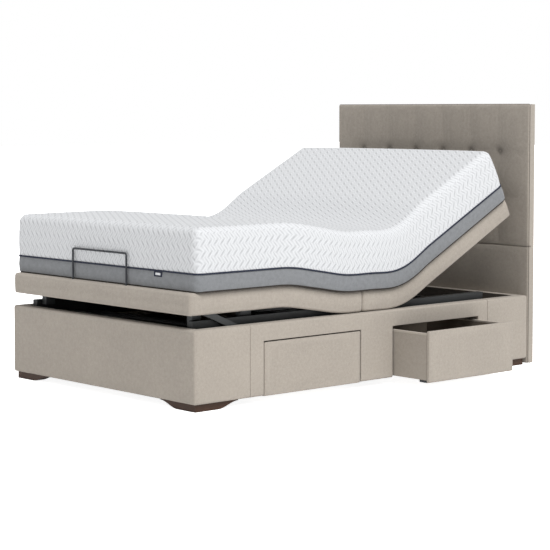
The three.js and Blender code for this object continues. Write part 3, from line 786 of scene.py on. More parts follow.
def sections(low_y, high_y, seat_cut, leg_half=0.115, knee_half=0.11, back_half=0.175):
    """The three bending stretches, from foot to head; weight runs from the first body to the second."""
    thigh_cut = LEG_HINGE[1] - THIGH_LENGTH / 2
    back = crease(BACK_HINGE, back_half, BACK_ANGLE * 0.2)
    leg = crease(LEG_HINGE, leg_half, -LEG_ANGLE / 2)[::-1]
    knee = crease(KNEE_REST, knee_half, -LEG_ANGLE / 2)[::-1]
    round_off = 0.11
    back_swell = round_off * back_half * BACK_ANGLE
    leg_swell = round_off * leg_half * LEG_ANGLE
    knee_swell = -round_off * knee_half * LEG_ANGLE
    return [
        Section("calf", ("thigh", "calf"), low_y, thigh_cut, *knee, knee_swell, calf_settle),
        Section("thigh", ("base", "thigh"), thigh_cut, seat_cut, *leg, leg_swell, thigh_settle),
        Section("back", ("base", "back"), seat_cut, high_y, *back, back_swell, back_settle),
    ]


def keep_flat_place(piece, flat):
    kept = piece.data.attributes.new("flat_place", "FLOAT_VECTOR", "POINT")
    kept.data.foreach_set("vector", np.asarray(flat, np.float32).ravel())


def keep_cloth_map(piece, flat, top):
    """Unrolls the cover over its edges, in metres, so that the ribs run on over them."""
    mesh = piece.data
    layer = mesh.uv_layers.new(name="cloth")
    for polygon in mesh.polygons:
        normal = polygon.normal
        centre = flat[list(polygon.vertices)].mean(axis=0)
        on_side = centre[2] < top - 0.02 and abs(normal.x) > 0.5
        on_end = centre[2] < top - 0.02 and not on_side
        for loop in polygon.loop_indices:
            x, y, z = flat[mesh.loops[loop].vertex_index]
            drop = top - z
            if on_side:
                place = (y, (drop + abs(x)) if x > 0 else -(drop + abs(x)))
            elif on_end:
                place = (x, z)
            else:
                place = (y, x)
            layer.data[loop].uv = place


# --- platform -----------------------------------------------------------------------------------


def flat_outline(seats, calf, back):
    """Outline of platform or mattress when it lies flat, from those nodes of the frame."""
    seat_low, seat_high = low_high(*seats)
    calf_low, _ = low_high(calf)
    flat_foot = calf_low[1] - (KNEE_REST[1] - KNEE_FLAT[1])
    back_points = np.array([v.co for v in NODES[back].data.vertices])
    flat_back = turn_about(back_points, BACK_HINGE, np.full(len(back_points), -BACK_ANGLE))
    low = np.array([seat_low[0], flat_foot, seat_low[2]])
    high = np.array([seat_high[0], flat_back[:, 1].max(), seat_high[2]])
    return low, high


def open_ends(section, low, high):
    """Whether a section's foot end and head end are ends of the whole outline."""
    return abs(section.y_low - low[1]) < 1e-6, abs(section.y_high - high[1]) < 1e-6


PAD_RADIUS = 0.013
BOARD_LIP = 0.036
BOARD_BED = HINGE_Z + 0.0186
SEAM_GAP = 0.001


def platform_cover(section, low, high, seam_low, seam_high):
    """One stretch of the padded platform cover: rounded outside, with a well for the board."""
    y0, y1 = section.y_low, section.y_high
    free = open_ends(section, low, high)
    if seam_low:
        y0 += SEAM_GAP
    if seam_high:
        y1 -= SEAM_GAP
    radius = PAD_RADIUS
    lip_low, lip_high = low[0] + BOARD_LIP, high[0] - BOARD_LIP
    xs = spaced(low[0], high[0], 0.034, lip_low, lip_high, *edge_marks(low[0], high[0], radius))
    y_marks = edge_marks(y0, y1, radius)
    if free[0]:
        y_marks.append(y0 + BOARD_LIP)
    if free[1]:
        y_marks.append(y1 - BOARD_LIP)
    ys = spaced(y0, y1, 0.022, *y_marks)
    zs = spaced(low[2], high[2], 0.02, BOARD_BED, *edge_marks(low[2], high[2], radius))

    def is_solid(x, y, z):
        under_board = z < BOARD_BED and lip_low < x < lip_high
        past_lip = (free[0] and y < y0 + BOARD_LIP) or (free[1] and y > y1 - BOARD_LIP)
        return not under_board or past_lip

    points, quads = cell_block(xs, ys, zs, is_solid)
    block_low = (low[0], y0, low[2])
    block_high = (high[0], y1, high[2])
    rounded = (free[0] or seam_low, free[1] or seam_high)
    flat, normal, inward = soften(
        points, block_low, block_high, radius, radius, 0.008, rounded
    )
    side = np.clip(1.0 - inward / radius, 0, 1)
    belly = np.sin(np.pi * np.clip((flat[:, 2] - low[2]) / (high[2] - low[2]), 0, 1))
    flat[:, :2] += normal * (side * belly * 0.002)[:, None]
    on_top = np.clip((flat[:, 2] - high[2] + 0.004) / 0.004, 0, 1)
    flat[:, 2] += on_top * ripple(flat, 0.0004, 3, 0.35) - on_top * 0.0006
    rest = section.to_rest(flat)
    piece = piece_from(f"platform_cover_{section.name}", rest, quads)
    keep_flat_place(piece, flat)
    smooth_by_angle(piece, 60)
    dress(piece, "woven_platform")
    section.blend(piece)
    return piece


class DIVAN_OT_platform(bpy.types.Operator):
    """Padded platform cover that bends over the hinge lines"""

    bl_idname = "divan.platform"
    bl_label = "Platform cover"

    def execute(self, context):
        low, high = flat_outline(("seat_cover_foot", "seat_cover_head"), "calf_cover", "back_cover")
        seam = float(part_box("seat_cover_foot")[1][1]) + 0.15 * MM
        replaced = {
            "calf": ["calf_cover", "thigh_cover"],
            "thigh": ["seat_cover_foot", "thigh_cover"],
            "back": ["seat_cover_head", "back_cover"],
        }
        for section in sections(low[1], high[1], seam):
            piece = platform_cover(
                section,
                low,
                high,
                seam_low=section.name == "back",
                seam_high=section.name == "thigh",
            )
            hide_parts(*replaced[section.name])
        for name in ("seat_board", "back_board", "thigh_board", "calf_board"):
            dress(NODES[name], "deck_board")
            bevel(NODES[name], 0.0015, 2)
        return {"FINISHED"}


# --- mattress -----------------------------------------------------------------------------------


CORNER = 0.034
SHOULDER = 0.032
SEAT_CUT = -0.038


def mattress_side(z, low, high, band):
    """How far the side stands in from the outline at height z."""
    share = np.clip((z - low[2] - band) / (high[2] - low[2] - band), 0, 1)
    upper = 0.0030 * np.exp(-share / 0.06) + 0.006 * share**2 - 0.002 * np.sin(np.pi * share)
    lower_share = np.clip((z - low[2]) / band, 0, 1)
    lower = 0.001 - 0.003 * np.sin(np.pi * lower_share)
    return np.where(z > low[2] + band, upper, lower)


def mattress_section(section, low, high, settings):
    y0, y1 = section.y_low, section.y_high
    free = open_ends(section, low, high)
    band_z = low[2] + settings.band
    x_marks = edge_marks(low[0], high[0], SHOULDER, 5) + edge_marks(low[0], high[0], CORNER, 6)
    xs = spaced(low[0], high[0], 0.026, *x_marks)
    y_marks = []
    if free[0]:
        y_marks += [y0 + CORNER * i / 6 for i in range(1, 7)]
    if free[1]:
        y_marks += [y1 - CORNER * i / 6 for i in range(1, 7)]
    ys = spaced(y0, y1, 0.021, *y_marks)
    shoulder_marks = [high[2] - SHOULDER * i / 5 for i in range(1, 6)]
    band_marks = (low[2] + 0.004, low[2] + 0.008, band_z - 0.006, band_z, band_z + 0.006)
    zs = spaced(low[2], high[2], 0.022, *shoulder_marks, *band_marks)
    points, quads = cell_block(xs, ys, zs, lambda x, y, z: True)
    block_low = (low[0], y0, low[2])
    block_high = (high[0], y1, high[2])
    flat, normal, inward = soften(points, block_low, block_high, CORNER, SHOULDER, 0.010, free)
    side = np.clip(1.0 - inward / CORNER, 0, 1)
    inset = mattress_side(flat[:, 2], low, high, settings.band)
    flat[:, :2] -= normal * (inset * side)[:, None]
    on_top = np.clip((flat[:, 2] - high[2] + 0.03) / 0.03, 0, 1)
    crown = 0.004 * (1 - (flat[:, 0] / high[0]) ** 4)
    flat[:, 2] += on_top * (crown - 0.004 + ripple(flat, 0.0012, 5, 0.5))
    rest = section.to_rest(flat)
    piece = piece_from(f"mattress_{section.name}_part", rest, quads)
    keep_flat_place(piece, flat)
    keep_cloth_map(piece, flat, high[2])
    dress(piece, "knit", "border_felt")
    for polygon in piece.data.polygons:
        middle = flat[list(polygon.vertices)][:, 2].mean()
        polygon.material_index = 1 if middle < band_z else 0
    smooth_by_angle(piece, 62)
    section.blend(piece)
    return piece


def outline_path(section, low, high, z, inset, step=0.02):
    """Points round an end section of the mattress at height z, from one side to the other."""
    left, right = low[0] + inset, high[0] - inset
    free = open_ends(section, low, high)
    foot = section.y_low + (inset if free[0] else 0)
    head = section.y_high - (inset if free[1] else 0)

    def arc(cx, cy, start, end):
        return [
            (cx + CORNER * math.cos(a), cy + CORNER * math.sin(a), z)
            for a in np.linspace(math.radians(start), math.radians(end), 9)
        ]

    def line(a, b):
        count = max(2, round(math.dist(a, b) / step))
        return [tuple(np.array(a) + (np.array(b) - np.array(a)) * i / count) for i in range(count + 1)]

    if free[0]:
        return (
            line((right, head, z), (right, foot + CORNER, z))[:-1]
            + arc(right - CORNER, foot + CORNER, 0, -90)
            + line((right - CORNER, foot, z), (left + CORNER, foot, z))[1:-1]
            + arc(left + CORNER, foot + CORNER, -90, -180)
            + line((left, foot + CORNER, z), (left, head, z))[1:]
        )
    if free[1]:
        return (
            line((left, foot, z), (left, head - CORNER, z))[:-1]
            + arc(left + CORNER, head - CORNER, 180, 90)
            + line((left + CORNER, head, z), (right - CORNER, head, z))[1:-1]
            + arc(right - CORNER, head - CORNER, 90, 0)
            + line((right, head - CORNER, z), (right, foot, z))[1:]
        )
    return None


def piping(section, low, high, z, inset, radius, name, cover):
    """A cord round the mattress at height z; the middle section has one along each side."""
    path = outline_path(section, low, high, z, inset)
    ys = spaced(section.y_low, section.y_high, 0.02)
    sides = (low[0] + inset, high[0] - inset)
    runs = [path] if path else [[(x, y, z) for y in ys] for x in sides]
    for i, run in enumerate(runs):
        piece = tube(f"{name}_{section.name}_{i + 1}", run, radius, sides=10)
        flat = np.array([v.co for v in piece.data.vertices])
        rest = section.to_rest(flat)
        piece.data.vertices.foreach_set("co", rest.astype(np.float32).ravel())
        piece.data.update()
        keep_flat_place(piece, flat)
        dress(piece, cover)
        section.blend(piece)


class DIVAN_OT_mattress(bpy.types.Operator):
    """Foam mattress in a knitted cover, with border, piping and a plain tag"""

    bl_idname = "divan.mattress"
    bl_label = "Mattress"

    def execute(self, context):
        settings = context.scene.divan_mattress
        low, high = flat_outline(("mattress_seat",), "mattress_calf", "mattress_back")
        replaced = {
            "calf": ["mattress_calf", "mattress_thigh"],
            "thigh": ["mattress_seat", "mattress_thigh"],
            "back": ["mattress_back", "mattress_seat"],
        }
        for section in sections(low[1], high[1], SEAT_CUT):
            piece = mattress_section(section, low, high, settings)
            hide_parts(*replaced[section.name])
            band_z = low[2] + settings.band
            # Painted shadow: a dark cord where the mattress meets the platform.
            shadow_cord_z = low[2] + 0.002
            piping(section, low, high, band_z, 0.0005, 0.0036, "piping", "navy_cord")
            piping(section, low, high, shadow_cord_z, 0.0045, 0.0032, "base_seam", "seam_shadow")
        self.add_tag(low, high, settings)
        return {"FINISHED"}

    def add_tag(self, low, high, settings):
        """A small folded tag under the piping at the foot end, left plain."""
        calf = sections(low[1], high[1], SEAT_CUT)[0]
        x0, x1 = 0.340, 0.390
        z1 = low[2] + settings.band - 0.002
        z0 = z1 - 0.021
        face = low[1] + 0.0005
        for name, inset, proud, cloth in (
            ("mattress_tag", 0.0, 0.0022, "navy_cord"),
            ("mattress_tag_patch", 0.010, 0.0032, "tag_white"),
        ):
            xs = spaced(x0 + inset, x1 - inset, 0.006)
            ys = [face - proud, face + 0.003]
            zs = spaced(z0 + inset * 0.6, z1 - inset * 0.6, 0.004)
            points, quads = cell_block(xs, ys, zs, lambda x, y, z: True)
            piece = piece_from(name, calf.to_rest(points), quads)
            keep_flat_place(piece, points)
            bevel(piece, 0.0006, 2)
            smooth_by_angle(piece)
            dress(piece, cloth)
            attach(piece, "calf")


# --- box ----------------------------------------------------------------------------------------


BOX_RADIUS = 0.010
BOX_SEAMS = (-0.676, 0.684)
HALF_SEAM = 0.0005


def box_ring(low, high, wall, y_low, y_high, seams):
    """One stretch of the upholstered box wall, cut round the drawers: its y span, points, quads."""
    openings = drawer_openings()
    radius = BOX_RADIUS
    y0 = y_low + (HALF_SEAM if seams[0] else 0)
    y1 = y_high - (HALF_SEAM if seams[1] else 0)
    inner_low, inner_high = low + wall, high - wall
    xs = spaced(
        low[0], high[0], 0.035, inner_low[0], inner_high[0], *edge_marks(low[0], high[0], radius, 3)
    )
    notch_marks = [y for opening in openings for y in opening[:2]]
    ys = spaced(
        y0,
        y1,
        0.03,
        inner_low[1],
        inner_high[1],
        *notch_marks,
        *edge_marks(y0, y1, radius, 3),
    )
    zs = spaced(low[2], high[2], 0.028, openings[0][2], *edge_marks(low[2], high[2], radius, 3))

    def is_solid(x, y, z):
        hollow = inner_low[0] < x < inner_high[0] and inner_low[1] < y < inner_high[1]
        cut = any(a < y < b and z < top for a, b, top in openings)
        return not hollow and not cut

    return (y0, y1), *cell_block(xs, ys, zs, is_solid)


def drawer_openings():
    """Each opening's low and high y and its top, from the drawer fronts with their gaps."""
    gap = 0.004
    made = []
    for end in ("foot", "head"):
        front_low, front_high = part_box(f"drawer_{end}_right_front")
        made.append((front_low[1] - gap, front_high[1] + gap, front_high[2] + gap))
    return made


def mark_inside(piece, high, wall):
    """Faces that look into the box and the undersides get the dark backing, darkened further as painted
    shade.
    """
    for polygon in piece.data.polygons:
        c, n = polygon.center, polygon.normal
        toward_middle = (abs(n.x) > 0.8 and c.x * n.x < 0 and abs(c.x) < high[0] - wall * 0.7) or (
            abs(n.y) > 0.8 and c.y * n.y < 0 and abs(c.y) > high[1] - wall * 1.3
        )
        if toward_middle or n.z < -0.8:
            polygon.material_index = 1


class DIVAN_OT_box(bpy.types.Operator):
    """Upholstered box in three stretches with upright seams"""

    bl_idname = "divan.box"
    bl_label = "Box cover"

    def execute(self, context):
        low, high = low_high("side_wall_right", "side_wall_left", "foot_wall", "head_wall")
        wall = float(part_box("side_wall_right")[1][0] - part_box("side_wall_right")[0][0])
        radius = BOX_RADIUS
        foot_seam, head_seam = BOX_SEAMS
        sides = ["side_wall_right", "side_wall_left"]
        stretches = (
            ("box_cover_foot", low[1], foot_seam, (False, True), ["foot_wall", *sides]),
            ("box_cover_middle", foot_seam, head_seam, (True, True), sides),
            ("box_cover_head", head_seam, high[1], (True, False), ["head_wall", *sides]),
        )
        for name, y_low, y_high, seams, nodes in stretches:
            span, points, quads = box_ring(low, high, wall, y_low, y_high, seams)
            block_low = (low[0], span[0], low[2])
            block_high = (high[0], span[1], high[2])
            flat, normal, inward = soften(
                points,
                block_low,
                block_high,
                radius,
                radius,
                0.008,
                (not seams[0], not seams[1]),
            )
            side = np.clip(1.0 - inward / radius, 0, 1)
            flat[:, :2] += normal * (side * ripple(flat, 0.0007, 11, 0.3))[:, None]
            piece = piece_from(name, flat, quads)
            dress(piece, "woven_cloth", "dark_backing")
            mark_inside(piece, high, wall)
            bevel(piece, 0.0028, 3, 50)
            smooth_by_angle(piece, 50)
            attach(piece, "base")
            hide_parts(*nodes)
        for name in ("partition_1", "partition_2", "partition_3", "partition_4", "floor_beam"):
            dress(NODES[name], "dark_board")
            bevel(NODES[name], 0.0012, 2)
        return {"FINISHED"}


# --- drawers ------------------------------------------------------------------------------------


def padded_front(name, node):
    """A drawer front: cloth over a thin pad, crowned, with soft edges."""
    low, high = (np.array(c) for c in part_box(node))
    outward = 1 if low[0] + high[0] > 0 else -1
    _, _, flat, quads = soft_block(low, high, (0.006, 0.02, 0.02), 0.005)
    mid = (low + high) / 2
    half = (high - low) / 2
    across = 1 - np.abs((flat[:, 1] - mid[1]) / half[1]) ** 8
    upward = 1 - np.abs((flat[:, 2] - mid[2]) / half[2]) ** 8
    on_face = np.clip((flat[:, 0] - mid[0]) * outward / half[0], 0, 1)
    swell = np.clip(across, 0, 1) * np.clip(upward, 0, 1)
    flat[:, 0] += outward * on_face * (swell * 0.0016 - 0.0006 + ripple(flat, 0.0004, 23, 0.2))
    piece = piece_from(name, flat, quads)
    dress(piece, "woven_cloth")
    return piece


class DIVAN_OT_drawers(bpy.types.Operator):
    """Four drawers: padded fronts, lined trays with taped edges, and glides"""

    bl_idname = "divan.drawers"
    bl_label = "Drawers"

    def execute(self, context):
        for end in ("foot", "head"):
            for side in ("right", "left"):
                self.make_drawer(f"drawer_{end}_{side}", 1 if side == "right" else -1)
        return {"FINISHED"}

    def make_drawer(self, body, outward):
        front = padded_front(f"{body}_padded_front", f"{body}_front")
        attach(front, body)
        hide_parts(f"{body}_front")
        tray = NODES[f"{body}_tray"]
        dress(tray, "tray_lining")
        bevel(tray, 0.0018, 2)
        smooth_by_angle(tray, 40)
        low, high = (np.array(c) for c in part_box(f"{body}_tray"))
        self.add_tape(body, low, high)
        self.add_glides(body, low, high, outward)

    def add_tape(self, body, low, high):
        """Pale tape folded over the top edges of the tray."""
        wall = 0.012
        proud = 0.0007
        top = high[2]
        inner_low, inner_high = low + wall + proud, high - wall - proud
        xs = spaced(low[0] - proud, high[0] + proud * 0.3, 0.05, inner_low[0], inner_high[0])
        ys = spaced(low[1] - proud, high[1] + proud, 0.05, inner_low[1], inner_high[1])

        def is_solid(x, y, z):
            return not (inner_low[0] < x < inner_high[0] and inner_low[1] < y < inner_high[1])

        points, quads = cell_block(xs, ys, [top - 0.007, top + proud], is_solid)
        tape = piece_from(f"{body}_edge_tape", points, quads)
        bevel(tape, 0.0006, 2)
        smooth_by_angle(tape, 40)
        dress(tape, "edge_tape")
        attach(tape, body)

    def add_glides(self, body, low, high, outward):
        """Low plastic glides under the tray's front corners."""
        run, half, height = 0.046, 0.012, 0.012
        front_x = high[0] if outward > 0 else low[0]
        x0, x1 = sorted((front_x - outward * run, front_x))
        bottom, top = low[2] - height, low[2]
        for i, y in enumerate((low[1] + 0.016, high[1] - 0.016)):
            xs = spaced(x0, x1, 0.006)
            ys = spaced(y - half, y + half, 0.006)
            zs = [bottom, low[2] - height / 2, top]
            points, quads = cell_block(xs, ys, zs, lambda x, y, z: True)
            corner_low, corner_high = (x0, y - half, bottom), (x1, y + half, top)
            flat, _, _ = soften(points, corner_low, corner_high, 0.006, 0.002, 0.005)
            glide = piece_from(f"{body}_glide_{i + 1}", flat, quads)
            dress(glide, "housing")
            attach(glide, body)


# --- headboard ----------------------------------------------------------------------------------


def button_places(settings, low, high):
    """Button centres: even squares across, and rows of the same squares up from the seam."""
    cell_x = (high[0] - low[0]) / (settings.columns + 1)
    cell_z = (high[2] - low[2]) / (settings.rows + 1)
    xs = [low[0] + cell_x * (i + 1) for i in range(settings.columns)]
    zs = [low[2] + cell_z * (i + 1) for i in range(settings.rows)]
    return xs, zs


def tufting(x, z, xs, zs, low, high, depth):
    """How far the pad is pulled in at a place by its buttons and pleats."""
    pull = np.zeros(len(x))
    for bx in xs:
        for bz in zs:
            away = np.hypot(x - bx, z - bz)
            pull = np.maximum(pull, depth * np.exp(-away / 0.016))
        top_row, bottom_row = max(zs), min(zs)
        sideways = np.exp(-np.abs(x - bx) / 0.010)
        wide = np.exp(-((x - bx) / 0.045) ** 2)
        above = np.clip((z - top_row) / (high[2] - top_row), 0, 1)
        fade = np.where(z > top_row, 1 - 0.55 * above, 0.0)
        pull = np.maximum(pull, (0.0014 * sideways + 0.0010 * wide) * fade)
        below = np.clip((bottom_row - z) / (bottom_row - low[2]), 0, 1)
        fade = np.where(z < bottom_row, 1 - 0.45 * below, 0.0)
        pull = np.maximum(pull, (0.0014 * sideways + 0.0010 * wide) * fade)
        between = (z >= bottom_row) & (z <= top_row)
        pull = np.maximum(pull, np.where(between, 0.0012 * sideways + 0.0008 * wide, 0.0))
    for bz in zs:
        level = np.exp(-np.abs(z - bz) / 0.035)
        inside = np.clip((xs[-1] + 0.12 - np.abs(x)) / 0.12, 0, 1)
        pull = np.maximum(pull, 0.0010 * level * inside)
    return pull


CLOTH_FRAMES = 36
FILLING = 0.0045


def tufted_front(points, xs, zs, low, high, settings):
    """How far each point of the pad's grid moves as the cloth settles over the filling."""
    button_x, button_z = button_places(settings, low, high)
    grid_x, grid_z = np.meshgrid(xs, zs, indexing="ij")
    shape = grid_x.shape
    pulled = tufting(
        grid_x.ravel(), grid_z.ravel(), button_x, button_z, low, high, settings.depth
    ).reshape(shape)
    held = np.zeros(shape, bool)
    held[[0, -1], :] = True
    held[:, [0, -1]] = True
    for x in button_x:
        for z in button_z:
            held |= np.hypot(grid_x - x, grid_z - z) < 0.009
        pleat = np.abs(grid_x - x) < 0.0045
        held |= pleat & ((grid_z > max(button_z)) | (grid_z < min(button_z)))
    moved = np.zeros((*shape, 3))
    moved = inflate(xs, zs, low[1], pulled, held)
    most = -moved[..., 1].min()
    moved *= FILLING / most
    moved[..., 1] += pulled
    found = {
        (round(x, 6), round(z, 6)): moved[i, j] for i, x in enumerate(xs) for j, z in enumerate(zs)
    }
    return np.array([found[(round(p[0], 6), round(p[2], 6))] for p in points])


def inflate(xs, zs, front, pulled, held):
    """Settles a sheet of cloth that is held at its edges, buttons and pleats over its filling."""
    points = [(x, front + pulled[i, j], z) for i, x in enumerate(xs) for j, z in enumerate(zs)]
    down = len(zs)
    faces = [
        [i * down + j, i * down + j + 1, (i + 1) * down + j + 1, (i + 1) * down + j]
        for i in range(len(xs) - 1)
        for j in range(down - 1)
    ]
    sheet = piece_from("headboard_sheet", points, [f[::-1] for f in faces])
    group = sheet.vertex_groups.new(name="held")
    for index in np.flatnonzero(held.ravel()):
        group.add([int(index)], 1.0, "REPLACE")
    cloth = sheet.modifiers.new("Cloth", "CLOTH")
    cloth.settings.quality = 6
    cloth.settings.mass = 0.3
    cloth.settings.tension_stiffness = 18
    cloth.settings.compression_stiffness = 18
    cloth.settings.shear_stiffness = 6
    cloth.settings.bending_stiffness = 0.4
    cloth.settings.air_damping = 6
    cloth.settings.vertex_group_mass = "held"
    cloth.settings.use_pressure = True
    cloth.settings.uniform_pressure_force = 2.2
    cloth.settings.shrink_min = -0.006
    cloth.settings.effector_weights.gravity = 0.0
    cloth.collision_settings.use_collision = False
    cloth.point_cache.frame_start = 1
    cloth.point_cache.frame_end = CLOTH_FRAMES
    scene = bpy.context.scene
    for number in range(1, CLOTH_FRAMES + 1):
        scene.frame_set(number)
    settled = sheet.evaluated_get(bpy.context.evaluated_depsgraph_get())
    made = np.array([v.co for v in settled.data.vertices])
    moved = (made - np.array(points)).reshape(len(xs), down, 3)
    scene.frame_set(1)
    mesh = sheet.data
    bpy.data.objects.remove(sheet)
    bpy.data.meshes.remove(mesh)
    return moved


def headboard_pad(name, node, depth=0.0, settings=None):
    low, high = (np.array(c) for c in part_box(node))
    step = 0.0105 if depth else 0.03
    (xs, _, zs), points, flat, quads = soft_block(
        low, high, (step, 0.006, step), 0.007, ends=(True, False)
    )
    mid, half = (low + high) / 2, (high - low) / 2
    front = np.clip((mid[1] - flat[:, 1]) / half[1], 0, 1)
    if depth:
        flat += front[:, None] * tufted_front(points, xs, zs, low, high, settings)
    else:
        swell = (1 - np.abs((flat[:, 0] - mid[0]) / half[0]) ** 14) * (
            1 - np.abs((flat[:, 2] - mid[2]) / half[2]) ** 12
        )
        flat[:, 1] -= front * (swell * 0.004 - 0.001)
    flat[:, 1] -= front * ripple(flat, 0.0005, 31, 0.22)
    piece = piece_from(name, flat, quads)
    dress(piece, "woven_tufted" if depth else "woven_cloth")
    # Painted shade round the buttons, kept as the fold attribute.
    if depth:
        keep_painted_button_shade(piece, points, button_places(settings, low, high))
    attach(piece, "base")
    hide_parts(node)
    return low, high


def keep_painted_button_shade(piece, points, places):
    """Painted shade: darkens the cloth where it is drawn in round each button."""
    fold = np.zeros(len(points))
    for x in places[0]:
        for z in places[1]:
            away = np.hypot(points[:, 0] - x, points[:, 2] - z)
            fold = np.maximum(fold, 0.85 * np.exp(-((away / 0.017) ** 2)))
            fold = np.maximum(fold, 0.14 * np.exp(-((away / 0.040) ** 2)))
    kept = piece.data.attributes.new("fold", "FLOAT", "POINT")
    kept.data.foreach_set("value", fold.astype(np.float32))


class DIVAN_OT_headboard(bpy.types.Operator):
    """Buttoned headboard: pads, covered buttons, board with side strips and an edge cord"""

    bl_idname = "divan.headboard"
    bl_label = "Headboard"

    def execute(self, context):
        settings = context.scene.divan_headboard
        low, high = headboard_pad(
            "headboard_buttoned_pad", "headboard_upper_pad", settings.depth, settings
        )
        headboard_pad("headboard_plain_pad", "headboard_lower_pad")
        xs, zs = button_places(settings, low, high)
        for row, z in enumerate(zs):
            for column, x in enumerate(xs):
                name = f"headboard_button_{row + 1}_{column + 1}"
                self.add_button(name, x, low[1] + settings.depth - 0.001, z)
        board = NODES["headboard_board"]
        dress(board, "woven_cloth")
        bevel(board, 0.001, 2)
        smooth_by_angle(board, 40)
        self.add_edge_cord(low, high)
        return {"FINISHED"}

    def add_button(self, name, x, y, z):
        """A cloth-covered button: a domed disc with a tight rim."""
        radius = 0.014
        crown = ((0.0, -0.0052), (0.45, -0.0047), (0.75, -0.0034), (0.94, -0.0014))
        rim = ((1.0, 0.0), (0.9, 0.0018), (0.6, 0.0026))

        def place(share, lift, c, s):
            return x + radius * share * c, y + lift, z + radius * share * s

        button = turned(name, crown + rim, 20, place)
        dress(button, "button_cloth")
        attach(button, "base")

    def add_edge_cord(self, low, high):
        """A thin dark cord where the front pad meets the board, up both sides and over the top."""
        y = low[1] + 0.0055
        x0, x1 = low[0] - 0.0004, high[0] + 0.0004
        z0 = float(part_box("headboard_board")[0][2]) + 0.002
        z1 = high[2] + 0.0004
        path = (
            [(x1, y, z) for z in spaced(z0, z1 - 0.006, 0.03)]
            + [(x1 - 0.002, y, z1 - 0.002)]
            + [(x, y, z1) for x in reversed(spaced(x0 + 0.006, x1 - 0.006, 0.03))]
            + [(x0 + 0.002, y, z1 - 0.002)]
            + [(x0, y, z) for z in reversed(spaced(z0, z1 - 0.006, 0.03))]
        )
        cord = tube("headboard_edge_cord", path, 0.0016, sides=8)
        keep_flat_place(cord, [v.co for v in cord.data.vertices])
        dress(cord, "edge_cord")
        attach(cord, "base")


# --- feet, frame and mechanism ------------------------------------------------------------------


class DIVAN_OT_feet(bpy.types.Operator):
    """Bracket feet and centre foot in stained wood"""

    bl_idname = "divan.feet"
    bl_label = "Feet"

    def execute(self, context):
        for name, node in NODES.items():
            if name.startswith(("foot_front", "foot_back", "foot_centre")):
                dress(node, "foot_wood")
                bevel(node, 0.002, 3)
                smooth_by_angle(node, 35)
        return {"FINISHED"}


def bolt(name, x, y, z, radius):
    """A domed bolt head standing out along X, with a washer, on the lift props."""
    height = 0.003
    outward = 1 if x > 0 else -1
    washer = ((1.5, 0.0), (1.5, 0.0015), (1.0, 0.0015))
    dome = ((0.95, height * 0.7), (0.7, height), (0.0, height * 1.1))

    def place(share, rise, c, s):
        return x + outward * rise, y + radius * share * c, z + radius * share * s

    made = turned(name, washer + dome, 16, place)
    smooth_by_angle(made, 35)
    dress(made, "steel_pale")
    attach(made, "lift_props")


class DIVAN_OT_mechanism(bpy.types.Operator):
    """Steel frame, lift props, drives and control box"""

    bl_idname = "divan.mechanism"
    bl_label = "Mechanism"

    def execute(self, context):
        pale = ("lift_prop", "calf_rail", "back_push_rod", "leg_push_rod")
        shafts = ("cross_tube", "calf_cross_tube", "prop_shaft")
        plain = ("frame_rail", *shafts, "thigh_arm", "back_crank", "thigh_crank")
        for name, node in NODES.items():
            if name.startswith(pale):
                self.finish_node(node, "steel_pale", 0.0018)
            elif name.startswith(plain):
                self.finish_node(node, "steel", 0.0022)
            elif name in ("back_actuator", "leg_actuator", "control_box"):
                self.finish_node(node, "housing", 0.004)
        self.add_bolts()
        return {"FINISHED"}

    def finish_node(self, node, cover, width):
        dress(node, cover)
        bevel(node, width, 3, 45)
        smooth_by_angle(node, 40)

    def add_bolts(self):
        """Bolt heads at the pivot and the roller of each lift prop."""
        pivot = JOINTS["prop_swing"]["pos_m"]
        inset = 0.012
        for side, sign in (("right", 1), ("left", -1)):
            low, high = (np.array(c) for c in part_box(f"lift_prop_{side}"))
            x = high[0] if sign > 0 else low[0]
            bolt(f"prop_pivot_bolt_{side}", x, pivot[1], pivot[2], 0.006)
            bolt(f"prop_roller_bolt_{side}", x, low[1] + inset, high[2] - inset, 0.005)


class DIVAN_OT_retainer(bpy.types.Operator):
    """Bent bar that stops the mattress from sliding off the foot end"""

    bl_idname = "divan.retainer"
    bl_label = "Retainer bar"

    def execute(self, context):
        low, high = (np.array(c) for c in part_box("retainer_bar"))
        radius = (high[1] - low[1]) / 2
        bend = 0.009
        x0, x1 = low[0] + radius, high[0] - radius
        y = (low[1] + high[1]) / 2
        top = high[2] - radius

        def corner(cx, cz, start, end):
            return [
                (cx + bend * math.cos(a), y, cz + bend * math.sin(a))
                for a in np.linspace(math.radians(start), math.radians(end), 7)
            ]

        path = (
            [(x0, y, z) for z in spaced(low[2], top - bend, 0.02)][:-1]
            + corner(x0 + bend, top - bend, 180, 90)
            + [(x, y, top) for x in spaced(x0 + bend, x1 - bend, 0.03)][1:-1]
            + corner(x1 - bend, top - bend, 90, 0)
            + [(x1, y, z) for z in reversed(spaced(low[2], top - bend, 0.02))][1:]
        )
        bar = tube("retainer_bent_bar", path, radius, sides=16)
        dress(bar, "bar_paint")
        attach(bar, "calf")
        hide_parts("retainer_bar")
        return {"FINISHED"}


# --- stage --------------------------------------------------------------------------------------


